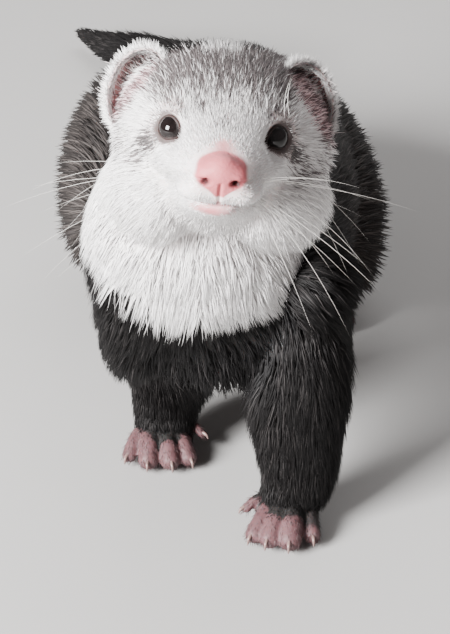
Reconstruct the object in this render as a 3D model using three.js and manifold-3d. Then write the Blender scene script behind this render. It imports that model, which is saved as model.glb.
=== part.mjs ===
// A life-size ferret as a museum model: it sits on its haunches with both forelegs straight and its head
// raised, and its tail lies behind it in a curve. Millimetres, +Z up, the nose towards -Y.
// The animal's own left side is at +X. Every size is of the outside of the coat.

import * as THREE from "three";
import { LoftGeometry } from "three/addons/geometries/LoftGeometry.js";
import { mergeVertices } from "three/addons/utils/BufferGeometryUtils.js";
import Module from "manifold-3d";

const wasm = await Module();
wasm.setup();

// Driving dimensions
const GAP = 0.3; // between solids that touch
const WELD = 1e-4; // vertices closer than this are one
const BLOCK = 900; // side of the blocks that cut along a plane

const HEAD_RAISE = THREE.MathUtils.degToRad(12); // of the muzzle above the horizontal
const HEAD_ROLL = THREE.MathUtils.degToRad(5.4); // the crown leans to the animal's left
const NOSE_TIP = new THREE.Vector3(-1, -40, 130);

const EYE_RADIUS = 4.2;
const EYE_CENTRE = new THREE.Vector3(12.7, 26, 5.8); // on the head, its left side
const EYE_OUTWARD = THREE.MathUtils.degToRad(38);
const EYE_UPWARD = THREE.MathUtils.degToRad(12);
const LID_OPENING = 3.75;
const LID_THICKNESS = 0.75;

const EAR_CENTRE_LEFT = new THREE.Vector3(21.4, 49, 10.5); // on the head
const EAR_CENTRE_RIGHT = new THREE.Vector3(-23.4, 49, 10.5);
const EAR_HALF_WIDTH = 9.7;
const EAR_HALF_HEIGHT = 13.3;
const EAR_DEPTH = 7.4;
const EAR_WALL = 2.2;
const EAR_OUTWARD = THREE.MathUtils.degToRad(32);
const EAR_UPWARD = THREE.MathUtils.degToRad(14);
const EAR_LEAN_LEFT = THREE.MathUtils.degToRad(-10);
const EAR_LEAN_RIGHT = THREE.MathUtils.degToRad(-14);

// Colours of the solids
const WHITE = new THREE.Color(0xe9e4e1);
const ROAN = new THREE.Color(0x8d8583);
const SABLE = new THREE.Color(0x241f1e);
const UNDERCOAT = new THREE.Color(0x3b3331);
const PINK = new THREE.Color(0xd9a0a4);
const EYE_BLACK = new THREE.Color(0x0b0a0b);

const X_AXIS = new THREE.Vector3(1, 0, 0);
const Z_AXIS = new THREE.Vector3(0, 0, 1);

function point(x, y, z) {
  return new THREE.Vector3(x, y, z);
}

// Solids

function solidOf(geometry) {
  const bare = geometry.index ? geometry.toNonIndexed() : geometry.clone();
  bare.deleteAttribute("normal");
  bare.deleteAttribute("uv");
  const merged = mergeVertices(bare, WELD);
  const corners = Array.from(merged.index.array);
  const triangles = [];
  for (let i = 0; i < corners.length; i += 3) {
    const [a, b, c] = corners.slice(i, i + 3);
    if (a !== b && b !== c && c !== a) triangles.push(a, b, c);
  }
  return new wasm.Manifold(
    new wasm.Mesh({
      numProp: 3,
      vertProperties: merged.attributes.position.array,
      triVerts: new Uint32Array(triangles),
    }),
  );
}

function joined(solids) {
  return solids.reduce((whole, next) => whole.add(next));
}

function largestPiece(solid) {
  const pieces = solid.decompose();
  return pieces.reduce((best, next) => (next.volume() > best.volume() ? next : best));
}

// A block that fills all the space on the side of a plane that its normal points to, half a gap back from it.
function spaceBeyond(plane, gap = GAP) {
  const turn = new THREE.Quaternion().setFromUnitVectors(Z_AXIS, plane.normal);
  const centre = plane.at.clone().addScaledVector(plane.normal, (BLOCK + gap) / 2);
  const block = new THREE.BoxGeometry(BLOCK, BLOCK, BLOCK);
  block.applyQuaternion(turn);
  block.translate(centre.x, centre.y, centre.z);
  return solidOf(block);
}

function spaceBefore(plane, gap = GAP) {
  return spaceBeyond({ at: plane.at, normal: plane.normal.clone().negate() }, gap);
}

function plane(at, direction) {
  return { at, normal: direction.clone().normalize() };
}

function ellipsoid(centre, radii, { turn = new THREE.Matrix4(), detail = 16, grow = 0 } = {}) {
  const ball = new THREE.SphereGeometry(1, detail, Math.round(detail * 0.66));
  ball.scale(radii.x + grow, radii.y + grow, radii.z + grow);
  ball.applyMatrix4(turn);
  ball.translate(centre.x, centre.y, centre.z);
  return ball;
}

// A station of a limb: the centre of its section, its half width, and how far it reaches up and down from there.
// On a path that runs down, as a leg does, up is the animal's back and down is its front.
function station(x, y, z, half, top, under) {
  return { at: point(x, y, z), size: point(half, top, under) };
}

function ringAt(centre, along, size, sides, power) {
  const side = X_AXIS.clone().addScaledVector(along, -X_AXIS.dot(along)).normalize();
  const up = new THREE.Vector3().crossVectors(side, along);
  const ring = [];
  for (let i = 0; i < sides; i++) {
    const angle = (2 * Math.PI * i) / sides;
    const across = Math.sign(Math.sin(angle)) * Math.abs(Math.sin(angle)) ** (2 / power) * size.x;
    const reach = Math.cos(angle) > 0 ? size.y : size.z;
    const tall = Math.sign(Math.cos(angle)) * Math.abs(Math.cos(angle)) ** (2 / power) * reach;
    ring.push(centre.clone().addScaledVector(side, across).addScaledVector(up, tall));
  }
  return ring;
}

// A limb is a smooth loft through its stations, with a domed end past the first and the last of them.
const DOME_SHARE = 0.94; // of a quarter turn, which leaves a small flat at the pole

function limb(stations, options = {}) {
  const { rings = 12, sides = 18, power = 2.2, domes = [8, 8], domeRings = 3, grow = 0 } = options;
  const path = new THREE.CatmullRomCurve3(stations.map((s) => s.at), false, "catmullrom", 0.5);
  const sizes = new THREE.CatmullRomCurve3(stations.map((s) => s.size), false, "catmullrom", 0.5);
  const grown = point(grow, grow, grow);
  const sections = [];
  const dome = (end, share) => {
    const along = path.getTangent(end);
    const angle = (Math.PI / 2) * DOME_SHARE * share;
    const out = (end ? 1 : -1) * (domes[end] + grow) * Math.sin(angle);
    const size = sizes.getPoint(end).add(grown).multiplyScalar(Math.cos(angle));
    sections.push(ringAt(path.getPoint(end).addScaledVector(along, out), along, size, sides, power));
  };
  for (let i = domeRings; i > 0; i--) dome(0, i / domeRings);
  for (let i = 0; i < rings; i++) {
    const t = i / (rings - 1);
    const size = sizes.getPoint(t).add(grown);
    sections.push(ringAt(path.getPoint(t), path.getTangent(t), size, sides, power));
  }
  for (let i = 1; i <= domeRings; i++) dome(1, i / domeRings);
  return new LoftGeometry(sections, { capStart: true, capEnd: true });
}

// A long lock of hair is flat and tapered. It leaves the skin of a limb, bends over and lies along it.
// turn is its place round the limb, from 0 at the top or back, and share its place along it.

function limbPaths(stations) {
  const path = new THREE.CatmullRomCurve3(stations.map((s) => s.at), false, "catmullrom", 0.5);
  const sizes = new THREE.CatmullRomCurve3(stations.map((s) => s.size), false, "catmullrom", 0.5);
  return { path, sizes, length: path.getLength() };
}

function onLimb({ path, sizes }, share, turn, offset, power = 2.2) {
  const t = Math.min(Math.max(share, 0), 1);
  const along = path.getTangent(t);
  const side = X_AXIS.clone().addScaledVector(along, -X_AXIS.dot(along)).normalize();
  const up = new THREE.Vector3().crossVectors(side, along);
  const size = sizes.getPoint(t);
  const bend = (value) => Math.sign(value) * Math.abs(value) ** (2 / power);
  const tall = bend(Math.cos(turn)) * ((Math.cos(turn) > 0 ? size.y : size.z) + offset);
  const at = path.getPoint(t).addScaledVector(side, bend(Math.sin(turn)) * (size.x + offset)).addScaledVector(up, tall);
  return at.addScaledVector(along, (share - t) * path.getLength());
}

const LOCK_STEPS = [0, 0.3, 0.62, 0.86, 1];
const LOCK_TAPER = [0.8, 1, 0.85, 0.5, 0.1];
const LOCK_RISE = [-1.45, -0.62, -0.33, -0.24, -0.1]; // share of the coat's depth under its outside

function lock(paths, { share, turn, length, width, thickness, depth, sway, lift }, grow) {
  const sections = LOCK_STEPS.map((step, i) => {
    const t = share + (step * length) / paths.length;
    const angle = turn + sway * step * step;
    const offset = LOCK_RISE[i] * depth + lift * step * step;
    const centre = onLimb(paths, t, angle, offset);
    const across = onLimb(paths, t, angle + 0.05, offset).sub(onLimb(paths, t, angle - 0.05, offset)).normalize();
    const ahead = onLimb(paths, t + 0.02, angle, offset).sub(onLimb(paths, t - 0.02, angle, offset)).normalize();
    const out = new THREE.Vector3().crossVectors(ahead, across).normalize();
    const wide = across.multiplyScalar((width / 2) * LOCK_TAPER[i] + grow);
    const thick = out.multiplyScalar((thickness / 2) * (0.35 + 0.65 * LOCK_TAPER[i]) + grow);
    return [
      centre.clone().add(wide),
      centre.clone().add(thick),
      centre.clone().sub(wide),
      centre.clone().sub(thick),
    ];
  });
  return solidOf(new LoftGeometry(sections, { capStart: true, capEnd: true }));
}

// Numbers from 0 to 1 that look random and are the same each time
function seeded(seed) {
  let state = seed;
  return () => {
    state = (Math.imul(state, 1664525) + 1013904223) >>> 0;
    return state / 2 ** 32;
  };
}

// Tiers of locks along a limb. Each tier is turned by half a lock against the one before it.
function locksOn(stations, { tiers, from, to, count, arc, middle, width, thickness, depth, length, seed }, grow = 0) {
  const paths = limbPaths(stations);
  const draw = seeded(seed);
  const locks = [];
  for (let tier = 0; tier < tiers; tier++) {
    for (let i = 0; i < count; i++) {
      const stagger = tier % 2 ? 0.5 : 0;
      const place = (i + stagger + 0.25) / count - 0.5;
      const varied = () => 0.85 + 0.3 * draw();
      const spec = {
        share: from + ((to - from) * (tier + 0.3 * draw())) / Math.max(tiers - 1, 1),
        turn: middle + arc * place,
        length: length * varied(),
        width: width * varied(),
        thickness,
        depth,
        sway: 0.24 * (draw() - 0.5),
        lift: 0.8 * draw(),
      };
      locks.push(lock(paths, spec, grow));
    }
  }
  return joined(locks);
}

// Where the head sits: its own frame has the nose tip at the origin, the muzzle towards -Y and the crown up.

function headFrame() {
  const back = point(0, Math.cos(HEAD_RAISE), -Math.sin(HEAD_RAISE));
  const up = point(0, Math.sin(HEAD_RAISE), Math.cos(HEAD_RAISE));
  const side = X_AXIS.clone().multiplyScalar(Math.cos(HEAD_ROLL)).addScaledVector(up, -Math.sin(HEAD_ROLL));
  const crown = up.clone().multiplyScalar(Math.cos(HEAD_ROLL)).addScaledVector(X_AXIS, Math.sin(HEAD_ROLL));
  return new THREE.Matrix4().makeBasis(side, back, crown).setPosition(NOSE_TIP);
}

const HEAD_FRAME = headFrame();

function onHead(geometry) {
  return solidOf(geometry.applyMatrix4(HEAD_FRAME));
}

function mirrored(vector, side) {
  return point(vector.x * side, vector.y, vector.z);
}

// The turn that takes -Y to a direction so far outward on one side and so far up.
function facing(side, outward, upward, lean = 0) {
  const turn = new THREE.Matrix4().makeRotationZ(side * outward);
  turn.multiply(new THREE.Matrix4().makeRotationX(-upward));
  turn.multiply(new THREE.Matrix4().makeRotationY(side * lean));
  return turn;
}

// Head

const SKULL = [
  station(0, 3, -0.5, 6.5, 5, 6.5),
  station(0, 8, -0.5, 10.5, 8, 8),
  station(0, 15, 0, 14.2, 11.5, 10),
  station(0, 24, 1, 18.6, 15.5, 14),
  station(0, 34, 2, 25.5, 20.5, 20),
  station(0, 46, 2, 31, 24, 26),
  station(0, 58, 0, 31, 25, 28),
  station(0, 70, -5, 27, 23, 24),
];

const JAW = [
  station(0, 5.5, -7.8, 5.2, 3.5, 4),
  station(0, 12, -8.6, 9.2, 5, 5.5),
  station(0, 22, -9.6, 13.5, 7, 8.5),
  station(0, 34, -12, 18, 9, 12),
];

const LIP_PAD_CENTRE = point(5.4, 8, -4.2);
const LIP_PAD_RADII = point(6.4, 7.6, 4.4);

function headSolid(grow = 0, fineness = 1) {
  const many = (count) => Math.round(count * fineness);
  const parts = [
    onHead(limb(SKULL, { rings: many(12), sides: many(20), power: 2.1, domes: [3, 9], domeRings: 2, grow })),
    onHead(limb(JAW, { rings: many(5), sides: many(14), power: 2.1, domes: [3, 6], domeRings: 2, grow })),
  ];
  for (const side of [1, -1]) {
    const pad = ellipsoid(mirrored(LIP_PAD_CENTRE, side), LIP_PAD_RADII, { detail: many(12), grow });
    parts.push(onHead(pad));
  }
  return joined(parts);
}

function eyeSolid(side, grow = 0, detail = 12) {
  const radius = EYE_RADIUS;
  return onHead(ellipsoid(mirrored(EYE_CENTRE, side), point(radius, radius, radius), { detail, grow }));
}

function eyeDirection(side) {
  return point(0, -1, 0).applyMatrix4(facing(side, EYE_OUTWARD, EYE_UPWARD));
}

// The lids are one almond-shaped ring round the front of the eye, in a socket that flares outward.
function lidRing(side) {
  const ring = new THREE.TorusGeometry(LID_OPENING, LID_THICKNESS, 5, 14);
  ring.scale(1.08, 0.94, 1);
  ring.rotateX(Math.PI / 2);
  ring.applyMatrix4(facing(side, EYE_OUTWARD, EYE_UPWARD, -0.4));
  const at = mirrored(EYE_CENTRE, side).addScaledVector(eyeDirection(side), EYE_RADIUS * 0.62);
  ring.translate(at.x, at.y, at.z);
  return onHead(ring);
}

function socket(side) {
  const flare = new THREE.CylinderGeometry(LID_OPENING + 1.6, LID_OPENING, 4, 14);
  flare.rotateX(Math.PI / 2);
  flare.applyMatrix4(facing(side, EYE_OUTWARD, EYE_UPWARD));
  const at = mirrored(EYE_CENTRE, side).addScaledVector(eyeDirection(side), EYE_RADIUS * 0.62 + 2);
  flare.translate(at.x, at.y, at.z);
  return onHead(flare);
}

// The line of the mouth: a thin curved groove between the lip pads and the jaw, as deep as the lips are thick.
const MOUTH_LINE = [point(0, -4, -8), point(0, 8, -7.8), point(0, 17, -8.6), point(0, 23, -10.6)];
const MOUTH_HALF_HEIGHT = 0.45;
const LIP_THICKNESS = 1.6;

function mouthSheet() {
  const sections = [];
  const path = new THREE.CatmullRomCurve3(MOUTH_LINE);
  for (let i = 0; i <= 5; i++) {
    const middle = path.getPoint(i / 5);
    const half = 26;
    const lift = MOUTH_HALF_HEIGHT;
    sections.push([
      point(-half, middle.y, middle.z - lift - 1.5),
      point(0, middle.y, middle.z - lift),
      point(half, middle.y, middle.z - lift - 1.5),
      point(half, middle.y, middle.z + lift - 1.5),
      point(0, middle.y, middle.z + lift),
      point(-half, middle.y, middle.z + lift - 1.5),
    ].reverse());
  }
  return onHead(new LoftGeometry(sections, { capStart: true, capEnd: true }));
}

// Nose: a rounded pad with two wings, a nostril in each.
const NOSE_CENTRE = point(0, 3.4, 0.9);
const NOSE_RADII = point(5, 4.6, 4.8);
const WING_CENTRE = point(3.7, 3.7, -0.1);
const WING_RADII = point(3.3, 4.1, 4.1);
const NOSTRIL_CENTRE = point(3.7, -0.2, -1.1);
const NOSTRIL_RADII = point(1.5, 2.4, 0.9);

function noseSolid(head) {
  const parts = [onHead(ellipsoid(NOSE_CENTRE, NOSE_RADII, { detail: 10 }))];
  for (const side of [1, -1]) parts.push(onHead(ellipsoid(mirrored(WING_CENTRE, side), WING_RADII, { detail: 8 })));
  let nose = joined(parts).subtract(head);
  for (const side of [1, -1]) {
    const turn = facing(side, 0, 0, 0.35);
    nose = nose.subtract(onHead(ellipsoid(mirrored(NOSTRIL_CENTRE, side), NOSTRIL_RADII, { turn, detail: 6 })));
  }
  return nose;
}

function earSolid(side, head) {
  const turn = facing(side, EAR_OUTWARD, EAR_UPWARD, side > 0 ? EAR_LEAN_LEFT : EAR_LEAN_RIGHT);
  const centre = side > 0 ? EAR_CENTRE_LEFT : EAR_CENTRE_RIGHT;
  const forward = point(0, -1, 0).applyMatrix4(turn);
  const outer = ellipsoid(centre, point(EAR_HALF_WIDTH, EAR_DEPTH, EAR_HALF_HEIGHT), { turn, detail: 16 });
  const hollow = ellipsoid(
    centre.clone().addScaledVector(forward, 3),
    point(EAR_HALF_WIDTH - EAR_WALL, EAR_DEPTH - EAR_WALL + 1.2, EAR_HALF_HEIGHT - EAR_WALL),
    { turn, detail: 14 },
  );
  const rim = plane(centre.clone().addScaledVector(forward, 2.2), forward.clone());
  const opened = solidOf(outer).intersect(spaceBefore(rim, 0)).subtract(solidOf(hollow));
  return largestPiece(moved(opened, HEAD_FRAME).subtract(head));
}

function moved(solid, matrix) {
  return solid.transform(matrix.elements);
}

// Neck and trunk

const NECK = [
  station(-2, 10, 122, 28, 26, 24),
  station(-6, 15, 105, 31.5, 32, 27.5),
  station(-8.5, 21, 86, 33.5, 34, 32),
  station(-6.8, 27, 68, 31.8, 34, 36),
  station(-2, 34, 52, 24, 26, 30),
];

const TRUNK = [
  station(-2, 8, 58, 25, 24, 22),
  station(0, 34, 60, 32, 36, 26),
  station(4, 66, 57, 38, 40, 29),
  station(7, 102, 51, 42, 43, 37),
  station(5, 144, 43, 44, 42, 42),
  station(1, 184, 35, 38, 33, 36),
  station(-1, 212, 26, 23, 21, 27),
];

const SHOULDER_CENTRE = point(22.5, 21, 60);
const SHOULDER_RADII = point(15, 23, 23);

// Under the long hair of the throat the neck is only a core, half way out to the tips. The nape is short-haired.
const BIB_CORE_DEPTH = 4.6;
const BIB_CORE_SHARE = [0, 0.05, 0.7, 1, 1]; // of that depth, at each station of the neck

function neckCore() {
  return NECK.map(({ at, size }, i) => {
    const depth = BIB_CORE_DEPTH * BIB_CORE_SHARE[i];
    return { at, size: point(size.x - depth * 0.85, size.y, size.z - depth) };
  });
}

function neckOutline(grow = 0) {
  return solidOf(limb(NECK, { rings: 9, sides: 22, domes: [8, 8], grow }));
}

function coreSolid(grow = 0) {
  const parts = [
    solidOf(limb(neckCore(), { rings: 9, sides: 22, domes: [8, 8], grow })),
    solidOf(limb(TRUNK, { rings: 14, sides: 24, power: 2.3, domes: [12, 12], grow })),
  ];
  for (const side of [1, -1]) {
    parts.push(solidOf(ellipsoid(mirrored(SHOULDER_CENTRE, side), SHOULDER_RADII, { detail: 12, grow })));
  }
  return joined(parts);
}

// Planes where one named length of the body ends and the next begins
const HEAD_END = plane(point(0, -16, 92), point(0, 26, -61));
const NECK_END = plane(point(0, -14, 66), point(0, 38, -62));
const CHEST_END = plane(point(0, 82, 50), point(0, 1, 0));
const BELLY_END = plane(point(0, 142, 40), point(0, 1, 0));
const FLOOR = plane(point(0, 0, 0), Z_AXIS);

// Legs

const FORELEG_LEFT = [
  station(22, 16, 62, 11, 13, 14),
  station(22, 11, 54, 13.5, 15, 15.5),
  station(21, 5, 42, 15, 14, 13),
  station(21.4, 1, 28, 12.8, 12, 11),
  station(21.8, -2, 17, 11.2, 10, 9.5),
  station(20.4, -5, 9, 10.4, 9, 8),
];

const FORELEG_RIGHT = [
  station(-23, 25, 62, 11, 14, 14),
  station(-23, 28, 54, 13.2, 15, 16),
  station(-20.5, 34, 41, 13, 13.5, 12.5),
  station(-17.2, 38, 27, 12.2, 11.5, 11),
  station(-18, 38, 16, 10, 10, 9.5),
  station(-18.5, 35, 9, 9.2, 9, 8),
];

const FORELEG_END = 13.5; // height of the wrist

const THIGH_LEFT = [
  station(22, 178, 44, 18, 24, 30),
  station(30, 150, 40, 24, 31, 34),
  station(35, 124, 34, 22, 26, 28),
  station(37, 104, 27, 15, 17, 18),
];

const THIGH_RIGHT = [
  station(-18, 200, 40, 18, 24, 28),
  station(-31, 172, 39, 26, 30, 34),
  station(-39, 148, 33, 21, 25, 28),
  station(-42, 128, 26, 14, 16, 17),
];

const HIND_FOOT_LEFT = [
  station(37, 170, 10, 7.5, 8.5, 10),
  station(36, 146, 8, 9, 7.5, 9),
  station(34.5, 122, 7, 10.5, 6.5, 8),
];

const HIND_FOOT_RIGHT = [
  station(-38, 198, 10, 7.5, 8.5, 10),
  station(-38, 174, 8, 9, 7.5, 9),
  station(-36.5, 150, 7, 10.5, 6.5, 8),
];

// A paw is a palm and five toes, the first of them the small inner one. A toe runs from its knuckle to its tip.
function toe(knuckle, tip, radius) {
  return { knuckle, tip, radius };
}

const PALM_RADII = point(10.5, 9.5, 7);

const FOREPAW_LEFT = {
  palm: point(18, -7, 5.5),
  toes: [
    toe(point(11.5, -4, 9), point(5.2, -8, 6.5), 2.3),
    toe(point(13.5, -9, 7), point(8.6, -17, 3.6), 3.2),
    toe(point(16.5, -10, 7.5), point(13, -19.2, 3.8), 3.5),
    toe(point(20, -10, 7.5), point(18.8, -20.2, 4), 3.8),
    toe(point(24.5, -8, 7), point(25.4, -17, 3.3), 2.9),
  ],
};

const FOREPAW_RIGHT = {
  palm: point(-19, 33, 5.5),
  toes: [
    toe(point(-11.5, 36, 9), point(-6, 31.5, 6.5), 2.2),
    toe(point(-14.5, 31, 7), point(-11.2, 22.5, 3.6), 3),
    toe(point(-18.5, 30, 7.5), point(-16.8, 20.8, 3.8), 3.4),
    toe(point(-23, 30, 7.5), point(-23.6, 21.2, 3.8), 3.5),
    toe(point(-26.5, 32, 7), point(-29.6, 25, 3.2), 2.7),
  ],
};

const HINDPAW_LEFT = hindPaw(34, 118, -1);
const HINDPAW_RIGHT = hindPaw(-36, 146, 1);

// The hind toes fan out from the front of the foot. The sign says on which side the inner toe is.
function hindPaw(x, y, inner) {
  const spread = [1.7, 0.9, 0.15, -0.6, -1.3];
  const reach = [8, 12.5, 14, 13.5, 10.5];
  const toes = spread.map((share, i) => {
    const knuckle = point(x + inner * share * 5, y - 3, 6.5);
    const tip = point(x + inner * share * 6.4, y - reach[i], 3.2);
    return toe(knuckle, tip, i ? 2.9 : 2.3);
  });
  return { palm: point(x, y, 4.5), toes };
}

const CLAW_LENGTH = 1.7;
const CLAW_RADIUS = 0.95;

function toeSolids({ knuckle, tip, radius }) {
  const ahead = new THREE.Vector3().subVectors(tip, knuckle).setZ(0).normalize();
  const middle = knuckle.clone().lerp(tip, 0.55);
  middle.z += 0.8;
  const flesh = limb(
    [
      station(...knuckle.toArray(), radius, radius, radius),
      station(...middle.toArray(), radius * 1.02, radius, radius),
      station(...tip.toArray(), radius * 1.05, radius, radius),
    ],
    { rings: 3, sides: 6, domes: [1, radius * 0.8], domeRings: 1, power: 2 },
  );
  const root = tip.clone().addScaledVector(ahead, radius * 0.3);
  const bend = tip.clone().addScaledVector(ahead, radius + CLAW_LENGTH * 0.45);
  const end = tip.clone().addScaledVector(ahead, radius + CLAW_LENGTH);
  const claw = limb(
    [
      station(root.x, root.y, root.z + radius * 0.42, CLAW_RADIUS, CLAW_RADIUS * 1.2, CLAW_RADIUS),
      station(bend.x, bend.y, bend.z + radius * 0.22, CLAW_RADIUS * 0.75, CLAW_RADIUS, CLAW_RADIUS * 0.8),
      station(end.x, end.y, Math.max(end.z - radius * 0.5, 1), 0.35, 0.35, 0.35),
    ],
    { rings: 3, sides: 4, domes: [0.3, 0.3], domeRings: 0, power: 2 },
  );
  return [solidOf(flesh), solidOf(claw)];
}

function pawSolid({ palm, toes }) {
  return joined([solidOf(ellipsoid(palm, PALM_RADII, { detail: 10 })), ...toes.flatMap(toeSolids)]);
}

// Tail

const TAIL = [
  station(-1, 216, 25, 17, 15, 22),
  station(0, 240, 17, 14.5, 13.5, 18),
  station(-3, 272, 14, 14.5, 13.5, 14.8),
  station(-14, 304, 13.5, 15, 14, 14.3),
  station(-36, 328, 11.6, 11.6, 11, 12.2),
  station(-52, 344, 9.2, 7, 7, 9),
  station(-64.5, 362, 7.4, 2.8, 3, 5),
];

const TAIL_MIDDLE = plane(point(-4, 282, 14), point(-0.35, 1, 0));

const TAIL_CORE_DEPTH = 4.8;
const TAIL_CORE_SHARE = [0.2, 0.8, 1, 1, 0.95, 0.7, 0.35]; // of that depth, at each station of the tail

function tailCore() {
  return TAIL.map(({ at, size }, i) => ({ at, size: size.clone().subScalar(TAIL_CORE_DEPTH * TAIL_CORE_SHARE[i]) }));
}

// Long hair: the bib of the throat and chest, and the brush of the tail in two lengths
const BIB = {
  tiers: 4,
  from: 0.27,
  to: 0.74,
  count: 11,
  arc: 4.3,
  middle: Math.PI,
  width: 11,
  thickness: 2.8,
  depth: 5.2,
  length: 19,
  seed: 7,
};

const BRUSH = { count: 5, arc: 2 * Math.PI, middle: 0, width: 10, thickness: 2.8, depth: 5.4, length: 22 };
const BRUSH_BASE = { ...BRUSH, tiers: 4, from: 0.07, to: 0.36, seed: 21 };
const BRUSH_END = { ...BRUSH, tiers: 5, from: 0.47, to: 0.86, seed: 34 };

// The animal

const nodes = new Map();

function addNode(name, solid, colour, roughness = 0.75) {
  nodes.set(name, { solid: largestPiece(solid.intersect(spaceBeyond(FLOOR, 0))), colour, roughness });
}

function buildHead() {
  const grown = headSolid(GAP);
  let head = headSolid().add(neckOutline()).intersect(spaceBefore(HEAD_END));
  for (const side of [1, -1]) head = head.subtract(socket(side)).add(lidRing(side));
  const lips = headSolid(-LIP_THICKNESS, 0.6);
  head = head.subtract(mouthSheet().subtract(lips));
  const noseSeat = onHead(ellipsoid(NOSE_CENTRE, point(3, 3, 3), { detail: 12 }));
  for (const side of [1, -1]) head = head.subtract(eyeSolid(side, GAP));
  addNode("head", head, WHITE);
  addNode("nose", noseSolid(grown).subtract(noseSeat), PINK, 0.4);
  for (const [name, side] of [["left", 1], ["right", -1]]) {
    addNode("eye_" + name, eyeSolid(side), EYE_BLACK, 0.08);
    addNode("ear_" + name, earSolid(side, grown), WHITE);
  }
}

function buildTrunk() {
  const core = coreSolid();
  const underHead = core.add(headSolid()).intersect(spaceBeyond(HEAD_END)).intersect(spaceBefore(NECK_END));
  const trunk = core.intersect(spaceBeyond(NECK_END));
  const aboveChest = spaceBefore(NECK_END);
  const overChest = coreSolid(GAP).subtract(aboveChest);
  const bib = locksOn(NECK, BIB).intersect(spaceBeyond(HEAD_END)).subtract(overChest);
  addNode("neck", underHead.add(bib), WHITE);
  addNode("chest", trunk.intersect(spaceBefore(CHEST_END)), SABLE);
  addNode("belly", trunk.intersect(spaceBeyond(CHEST_END)).intersect(spaceBefore(BELLY_END)), UNDERCOAT);
  addNode("rump", trunk.intersect(spaceBeyond(BELLY_END)), UNDERCOAT);
}

function buildForeleg(name, stations, paw, coreGrown) {
  const whole = solidOf(limb(stations, { rings: 8, sides: 14, domes: [6, 5], domeRings: 2 }));
  const leg = whole.subtract(coreGrown).subtract(locksOn(NECK, BIB, GAP));
  const wrist = plane(point(0, 0, FORELEG_END), point(0, 0, -1));
  const hand = pawSolid(paw).add(leg.intersect(spaceBeyond(wrist)));
  const pawTop = pawSolid(paw).intersect(spaceBefore(wrist, -GAP));
  addNode("foreleg_" + name, leg.intersect(spaceBefore(wrist)).subtract(pawTop), SABLE);
  addNode("forepaw_" + name, hand.intersect(spaceBeyond(wrist)), PINK);
}

function buildHindLeg(name, thigh, foot, paw, coreGrown) {
  const options = { rings: 7, sides: 16, domes: [10, 12], domeRings: 2 };
  const thighGrown = solidOf(limb(thigh, { ...options, grow: GAP }));
  addNode("thigh_" + name, solidOf(limb(thigh, options)).subtract(coreGrown), SABLE);
  const sole = solidOf(limb(foot, { rings: 5, sides: 10, domes: [6, 4], domeRings: 1 }));
  const whole = sole.add(pawSolid(paw)).subtract(coreGrown).subtract(thighGrown);
  addNode("hindpaw_" + name, whole, PINK);
}

function buildTail(coreGrown) {
  const core = solidOf(limb(tailCore(), { rings: 13, sides: 10, domes: [8, 4], domeRings: 1 })).subtract(coreGrown);
  const endGrown = solidOf(limb(tailCore(), { rings: 13, sides: 10, domes: [8, 4], domeRings: 1, grow: GAP }))
    .intersect(spaceBeyond(TAIL_MIDDLE, -GAP));
  const baseBrush = locksOn(TAIL, BRUSH_BASE).subtract(coreGrown).subtract(endGrown);
  const base = core.intersect(spaceBefore(TAIL_MIDDLE)).add(baseBrush);
  const end = core.intersect(spaceBeyond(TAIL_MIDDLE)).add(locksOn(TAIL, BRUSH_END).intersect(spaceBeyond(TAIL_MIDDLE)));
  addNode("tail_base", base, SABLE);
  addNode("tail_end", end.subtract(locksOn(TAIL, BRUSH_BASE, GAP)), SABLE);
}

function meshOf(name, { solid, colour, roughness }) {
  const { vertProperties, triVerts } = solid.getMesh();
  const geometry = new THREE.BufferGeometry();
  geometry.setAttribute("position", new THREE.BufferAttribute(new Float32Array(vertProperties), 3));
  geometry.setIndex(new THREE.BufferAttribute(new Uint32Array(triVerts), 1));
  geometry.computeVertexNormals();
  const material = new THREE.MeshStandardMaterial({ color: colour, roughness, metalness: 0 });
  const mesh = new THREE.Mesh(geometry, material);
  mesh.name = name;
  return mesh;
}

const coreGrown = coreSolid(GAP);
buildHead();
buildTrunk();
buildForeleg("left", FORELEG_LEFT, FOREPAW_LEFT, coreGrown);
buildForeleg("right", FORELEG_RIGHT, FOREPAW_RIGHT, coreGrown);
buildHindLeg("left", THIGH_LEFT, HIND_FOOT_LEFT, HINDPAW_LEFT, coreGrown);
buildHindLeg("right", THIGH_RIGHT, HIND_FOOT_RIGHT, HINDPAW_RIGHT, coreGrown);
buildTail(coreGrown);

const ferret = new THREE.Group();
for (const [name, node] of nodes) ferret.add(meshOf(name, node));

// The origin is the middle of the underside of the box round the whole animal.
const reach = new THREE.Box3().setFromObject(ferret);
const middle = reach.getCenter(new THREE.Vector3());
ferret.position.set(-middle.x, -middle.y, -reach.min.z);

export default ferret;
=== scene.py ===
import math

import bmesh
import bpy
import numpy as np
from mathutils import Matrix, Vector


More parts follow.
